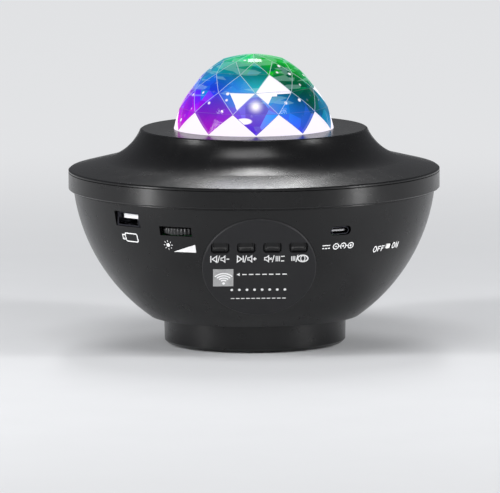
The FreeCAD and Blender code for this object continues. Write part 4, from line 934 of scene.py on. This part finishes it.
def edge_strip(bm, first, last, half):
    """One raised strip between two corners, bent with the dome."""
    path = [swollen(first + (last - first) * step / STRIP_STEPS, 1.0) for step in range(STRIP_STEPS + 1)]
    loops = []
    for index, point in enumerate(path):
        run = (path[min(index + 1, STRIP_STEPS)] - path[max(index - 1, 0)]).normalized()
        out = point.normalized()
        side = run.cross(out).normalized() * half
        corners = [point + offset for offset in (side + out * STRIP_LIFT, out * STRIP_CREST,
                                                 -side + out * STRIP_LIFT, -out * STRIP_ROOT)]
        for corner in corners:
            corner.z = min(corner.z, DOME_RISE - STRIP_GAP)
        loops.append([bm.verts.new(at_dome(corner)) for corner in corners])
    for before, after in zip(loops, loops[1:]):
        bridge(bm, before, after)
    bm.faces.new(loops[0][::-1])
    bm.faces.new(loops[-1])


def edge_strips():
    """Fine raised strips along the facets' borders: slanted ones bright, level ones faint."""
    bright, faint = bmesh.new(), bmesh.new()
    done = set()
    for facet in dome_facets(dome_rings()):
        for first, last in zip(facet, facet[1:] + facet[:1]):
            key = frozenset(tuple(round(value, 2) for value in point) for point in (first, last))
            level_edge, low_edge = abs(first.z - last.z) < 0.01, min(first.z, last.z) < 0.01
            if key in done or (level_edge and low_edge):
                continue
            done.add(key)
            edge_strip(faint if level_edge or low_edge else bright, first, last,
                       LEVEL_HALF if level_edge else LOW_HALF if low_edge else SLANTED_HALF)
    for name, bm, finish_material in (("dome_bright_cuts", bright, dome_edges),
                                      ("dome_faint_creases", faint, dome_creases)):
        bmesh.ops.recalc_face_normals(bm, faces=bm.faces)
        new_piece(name, bm, "root", finish_material)


edge_strips()
gem_dome()


def lathe(bm, profile, segments, middle=(0, 0)):
    """Turns a closed profile of radius and height round an upright axis."""
    loops = []
    for radius, height in profile:
        count = segments if radius else 1
        loops.append(loop_of(bm, [(middle[0] + radius * math.cos(turn), middle[1] + radius * math.sin(turn),
                                   height) for turn in full_turn(count)]))
    for first, last in zip(loops, loops[1:]):
        for step in range(segments):
            after = (step + 1) % segments
            corners = [first[step % len(first)], first[after % len(first)], last[after % len(last)],
                       last[step % len(last)]]
            kept = [corner for index, corner in enumerate(corners) if corner not in corners[:index]]
            if len(kept) > 2:
                bm.faces.new(kept)
    bmesh.ops.recalc_face_normals(bm, faces=bm.faces)


BUTTON_ROW, BUTTON_PITCH, BUTTON_HALF, BUTTON_CORNER = 10.4, 11.7, (3.85, 2.55), 1.1
CAP_COLUMNS, CAP_ROWS, CAP_MARGIN, CAP_CUT = 34, 24, 0.3, 1.0
CAP_REST, CAP_DISH, CAP_ROLL, CAP_ROLL_WIDTH = 0.72, 0.95, 0.3, 0.35


def eased(share):
    """Soft step from 0 to 1."""
    held = min(1.0, max(0.0, share))
    return held * held * (3 - 2 * held)


def cap_depth(right, above):
    """How far a cap's face lies behind the panel's: rolled edge, raised sides and a deep finger dish."""
    past = [max(0.0, abs(value) - (half - BUTTON_CORNER))
            for value, half in zip((right, above), BUTTON_HALF)]
    inside = BUTTON_CORNER - math.hypot(*past)
    roll = CAP_ROLL * max(0.0, 1 - inside / CAP_ROLL_WIDTH) ** 2
    return CAP_REST + roll + CAP_DISH * eased((3.25 - abs(right)) / 0.5) * eased((above + 1.6) / 1.5)


def dished_cap(body, across):
    """A key cap like the CAD one with its lip and stem, its face cut to a dish."""
    bm = bmesh.new()
    layers = []
    for depth in (lambda right, above: -CAP_CUT, cap_depth):
        layers.append([[bm.verts.new(on_panel(across + right, BUTTON_ROW + above, -depth(right, above)))
                        for right in [(BUTTON_HALF[0] + CAP_MARGIN) * (2 * column / CAP_COLUMNS - 1)
                                      for column in range(CAP_COLUMNS + 1)]]
                       for above in [(BUTTON_HALF[1] + CAP_MARGIN) * (2 * row / CAP_ROWS - 1)
                                     for row in range(CAP_ROWS + 1)]])
    for layer in layers:
        for low, high in zip(layer, layer[1:]):
            for column in range(CAP_COLUMNS):
                bm.faces.new((low[column], low[column + 1], high[column + 1], high[column]))
    borders = [layer[0] + [row[-1] for row in layer[1:-1]] + layer[-1][::-1]
               + [row[0] for row in layer[-2:0:-1]] for layer in layers]
    bridge(bm, *borders)
    bmesh.ops.recalc_face_normals(bm, faces=bm.faces)
    node_name = body + "_button"
    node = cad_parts[node_name]
    plain_mesh = node.data.copy()
    plain_mesh.transform(node.matrix_world)
    cap = bmesh.new()
    cap.from_mesh(cut_away(linked("cap_plain", plain_mesh), bm))
    # The cap's dark colour is painted shade for its pocket
    piece = new_piece("cap_" + body, cap, body, shaded_key_abs)
    for face in piece.data.polygons:
        face.material_index = 0
    smooth(piece, 40)
    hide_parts(node_name)


for number, cap_body in enumerate(("volume_down", "volume_up", "mute", "lamp_mode")):
    dished_cap(cap_body, (number - 1.5) * BUTTON_PITCH)

FOOT_RADIUS, FOOT_RISE, FOOT_CIRCLE = 4.0, 0.8, 33.0


def foot_pads():
    """Four round pads with rolled edges and a moulded ring."""
    bm = bmesh.new()
    for quarter in range(4):
        place = from_front(FOOT_CIRCLE, math.pi / 2 * quarter)
        lathe(bm, ((0, 0.12), (1.9, 0.12), (2.1, 0.0), (FOOT_RADIUS - 0.3, 0.0), (FOOT_RADIUS - 0.08, 0.08),
                   (FOOT_RADIUS, 0.28), (FOOT_RADIUS, FOOT_RISE), (0, FOOT_RISE)), 40,
              place.xy)
    piece = new_piece("foot_pads", bm, "root", foot_rubber)
    smooth(piece)
    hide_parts("rubber_feet")


foot_pads()

BASE_SCREW_SEAT, BASE_SCREW_END = 4.2, 19.5
BASE_HEAD, BASE_SHANK, RECESS = (2.5, 1.7), 1.25, (2.9, 0.62, 1.7)


def base_screw_heads():
    """Four pan-head screws with a cross recess, thread and point, in the base's posts."""
    screw_mesh = bmesh.new()
    head_radius, head_height = BASE_HEAD
    top = BASE_SCREW_SEAT - head_height
    turns, thread = 9, 0.18
    core = BASE_SHANK - thread
    profile = [(0, top), (1.4, top), (2.1, top + 0.25), (head_radius, top + 0.8),
               (head_radius, BASE_SCREW_SEAT), (core, BASE_SCREW_SEAT)]
    pitch = (BASE_SCREW_END - BASE_SCREW_SEAT - 1.5) / turns
    for turn in range(turns):
        start = BASE_SCREW_SEAT + 0.5 + pitch * turn
        profile += [(core, start), (BASE_SHANK, start + pitch / 2)]
    profile += [(core, BASE_SCREW_END - 1.0), (0, BASE_SCREW_END)]
    lathe(screw_mesh, profile, 28)
    plain = new_piece("screw_plain", screw_mesh, "root", screw_steel)
    cross = bmesh.new()
    for turn in (0, math.pi / 2):
        cell = bmesh.ops.create_cube(cross, size=1.0)["verts"]
        bmesh.ops.scale(cross, vec=Vector(RECESS) * MM, verts=cell)
        bmesh.ops.rotate(cross, cent=(0, 0, 0), matrix=Matrix.Rotation(turn, 3, "Z"), verts=cell)
    cut_mesh = cut_away(plain, cross, (0, 0, top * MM), use_self=True)
    bm = bmesh.new()
    for quarter in range(4):
        place = from_front(FOOT_CIRCLE * MM, math.pi / 4 + math.pi / 2 * quarter)
        copy = cut_mesh.copy()
        copy.transform(Matrix.Translation(place) @ Matrix.Rotation(0.4 + 1.1 * quarter, 4, "Z"))
        bm.from_mesh(copy)
        bpy.data.meshes.remove(copy)
    piece = new_piece("base_screws_cross_head", bm, "root", screw_steel)
    smooth(piece)
    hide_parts("base_screws")


base_screw_heads()

WHEEL_RADIUS, WHEEL_RIBS, WHEEL_RIB_DEPTH, WHEEL_EDGE = 10.0, 36, 0.5, 0.35
WHEEL_THICK, WHEEL_STUB, RIB_POINTS, RIB_ROUNDNESS = 3.0, 2.0, 8, 1.6


def thumbwheel():
    """Dimmer wheel with rounded ribs, broken edges and a stub, where the CAD wheel stands."""
    low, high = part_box("dimmer_wheel")
    middle = (low + high) / 2
    across, along = middle.xy / MM
    bottom, top = high.z / MM - WHEEL_THICK, high.z / MM
    bm = bmesh.new()
    loops = []
    for height, inset in ((bottom, WHEEL_EDGE), (bottom + WHEEL_EDGE, 0), (top - WHEEL_EDGE, 0),
                          (top, WHEEL_EDGE)):
        places = []
        for turn in full_turn(WHEEL_RIBS * RIB_POINTS):
            wave = (1 - math.cos(WHEEL_RIBS * turn)) / 2
            radius = WHEEL_RADIUS - inset - WHEEL_RIB_DEPTH * wave ** RIB_ROUNDNESS
            places.append((across + radius * math.cos(turn), along + radius * math.sin(turn), height))
        loops.append(loop_of(bm, places))
    for first, last in zip(loops, loops[1:]):
        bridge(bm, first, last)
    bm.faces.new(loops[0][::-1])
    bm.faces.new(loops[-1])
    lathe(bm, ((0, bottom + 0.5), (WHEEL_STUB, bottom + 0.5), (WHEEL_STUB, low.z / MM), (0, low.z / MM)),
          32, (across, along))
    piece = new_piece("thumbwheel", bm, "dimmer", wheel_abs)
    smooth(piece, 40)
    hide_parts("dimmer_wheel")


thumbwheel()

DISC_STEPS, DISC_RINGS, DISC_BORE, RIPPLE = 96, 22, 6.65, 0.22


def rippled_disc():
    """Clear disc whose upper face is moulded in soft waves that bend the lamp's light."""
    low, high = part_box("ripple_disc")
    outer = (high.x - low.x) / 2 / MM
    bm = bmesh.new()
    layers = []
    for ring_number in range(DISC_RINGS + 1):
        radius = DISC_BORE + (outer - DISC_BORE) * ring_number / DISC_RINGS
        flat = ring_number in (0, DISC_RINGS)
        places = []
        for turn in full_turn(DISC_STEPS):
            wave = (math.sin(0.9 * radius + 3 * turn) + math.sin(1.3 * radius - 5 * turn)
                    + math.sin(7 * turn + 0.4 * radius)) / 3
            places.append((radius * math.cos(turn), radius * math.sin(turn),
                           high.z / MM - RIPPLE * (1 if flat else 1 - wave)))
        layers.append(loop_of(bm, places))
    under = [[bm.verts.new(Vector((*vert.co.xy, low.z))) for vert in layer]
             for layer in (layers[0], layers[-1])]
    loops = [under[0]] + layers + under[::-1]
    for first, last in zip(loops, loops[1:]):
        bridge(bm, last, first)
    bmesh.ops.recalc_face_normals(bm, faces=bm.faces)
    piece = new_piece("rippled_disc", bm, "ripple_rotor", acrylic)
    smooth(piece)
    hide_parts("ripple_disc")


rippled_disc()


def soft_light(name, place, size, watts):
    """Rectangular soft box aimed at the object's middle."""
    lamp = bpy.data.lights.new(name, "AREA")
    lamp.shape = "RECTANGLE"
    lamp.size, lamp.size_y = size
    lamp.energy = watts
    holder = linked(name, lamp)
    holder.location = place
    holder.rotation_mode = "QUATERNION"
    holder.rotation_quaternion = (Vector(MIDDLE) - Vector(place)).to_track_quat("-Z", "Y")


MIDDLE = (0, 0, 0.06)
soft_light("overhead", (-0.2, -0.9, 2.5), (1.4, 0.9), 21.0)
soft_light("front_fill", (0.25, -2.9, 0.9), (1.2, 0.7), 15.0)
soft_light("strip_left", (-0.745, -0.3, 0.3), (0.09, 0.6), 7.5)
soft_light("strip_right", (0.715, -0.36, 0.3), (0.09, 0.6), 6.5)
soft_light("rear_glow", (0.05, 1.32, 1.72), (0.2, 1.5), 14.0)

STUDIO_GREY = "#68696c"
BACKDROP_PALE, BACKDROP_SHARE = "#e6e7e9", 0.9
SHADOW_END, BACKDROP_START, FLOOR_RADIUS = 0.15, 0.8, 7.0


def studio():
    """Pale paper floor in a plain grey room."""
    world = bpy.data.worlds.new("studio")
    bpy.context.scene.world = world
    world.use_nodes = True
    tree = world.node_tree
    tree.nodes.clear()
    pale = add_node(tree, "Background", {"Color": linear(STUDIO_GREY)})
    add_node(tree, "OutputWorld", {"Surface": pale.outputs[0]})
    bm = bmesh.new()
    bmesh.ops.create_circle(bm, cap_ends=True, segments=96, radius=FLOOR_RADIUS)
    floor = linked("floor", mesh_of("floor", bm))
    made, tree, shader = new_material("paper_floor_matt", {"Roughness": 0.85, "Specular IOR Level": 0.2})
    place = object_place(tree)
    feed(shader, "Base Color", mixed(tree, noise(tree, place, 40, 4.0), "#cbccce", "#cfd0d2"))
    # Beyond the object's shadow the paper fades to an even pale backdrop, as a lit sweep does. Only what
    # the camera, metal and glass see of it changes, so the object gets no more light.
    ray = add_node(tree, "LightPath").outputs
    seen = calc(tree, "MAXIMUM", ray["Is Camera Ray"], ray["Is Glossy Ray"])
    seen = calc(tree, "MAXIMUM", seen, ray["Is Transmission Ray"])
    away = vec(tree, "LENGTH", place)
    fade = add_node(tree, "MapRange", {"Value": away, "From Min": SHADOW_END, "From Max": BACKDROP_START,
                                       "To Max": BACKDROP_SHARE},
                    interpolation_type="SMOOTHSTEP").outputs[0]
    share = calc(tree, "MULTIPLY", seen, fade)
    sweep = add_node(tree, "Emission", {"Color": linear(BACKDROP_PALE), "Strength": 1.0})
    look = add_node(tree, "MixShader", {0: share, 1: shader.outputs[0], 2: sweep.outputs[0]})
    tree.links.new(look.outputs[0], tree.get_output_node("ALL").inputs["Surface"])
    floor.data.materials.append(made)


studio()


def photo_camera():
    """Camera at the photograph's angle, aimed so that the object sits where it does there."""
    lens = bpy.data.cameras.new("photo_camera")
    lens.sensor_width = SENSOR
    lens.lens = SENSOR * CAMERA_DISTANCE * PHOTO_SCALE / PHOTO_WIDTH
    lens.clip_start, lens.clip_end = 0.1, 30.0
    camera = linked("photo_camera", lens)
    turn, back = math.radians(CAMERA_TURN), direction(CAMERA_TURN, CAMERA_RISE)
    right = Vector((math.cos(turn), math.sin(turn), 0))
    aim = Vector((0, 0, AIM_HEIGHT)) - right * (AXIS_COLUMN - PHOTO_WIDTH / 2) / PHOTO_SCALE
    camera.location = (aim + back * CAMERA_DISTANCE) * MM
    camera.rotation_mode = "QUATERNION"
    camera.rotation_quaternion = ((-back).to_track_quat("-Z", "Y")
                                  @ Quaternion((0, 0, 1), math.radians(CAMERA_ROLL)))
    bpy.context.scene.camera = camera


photo_camera()
bpy.context.scene.view_settings.view_transform = "Standard"
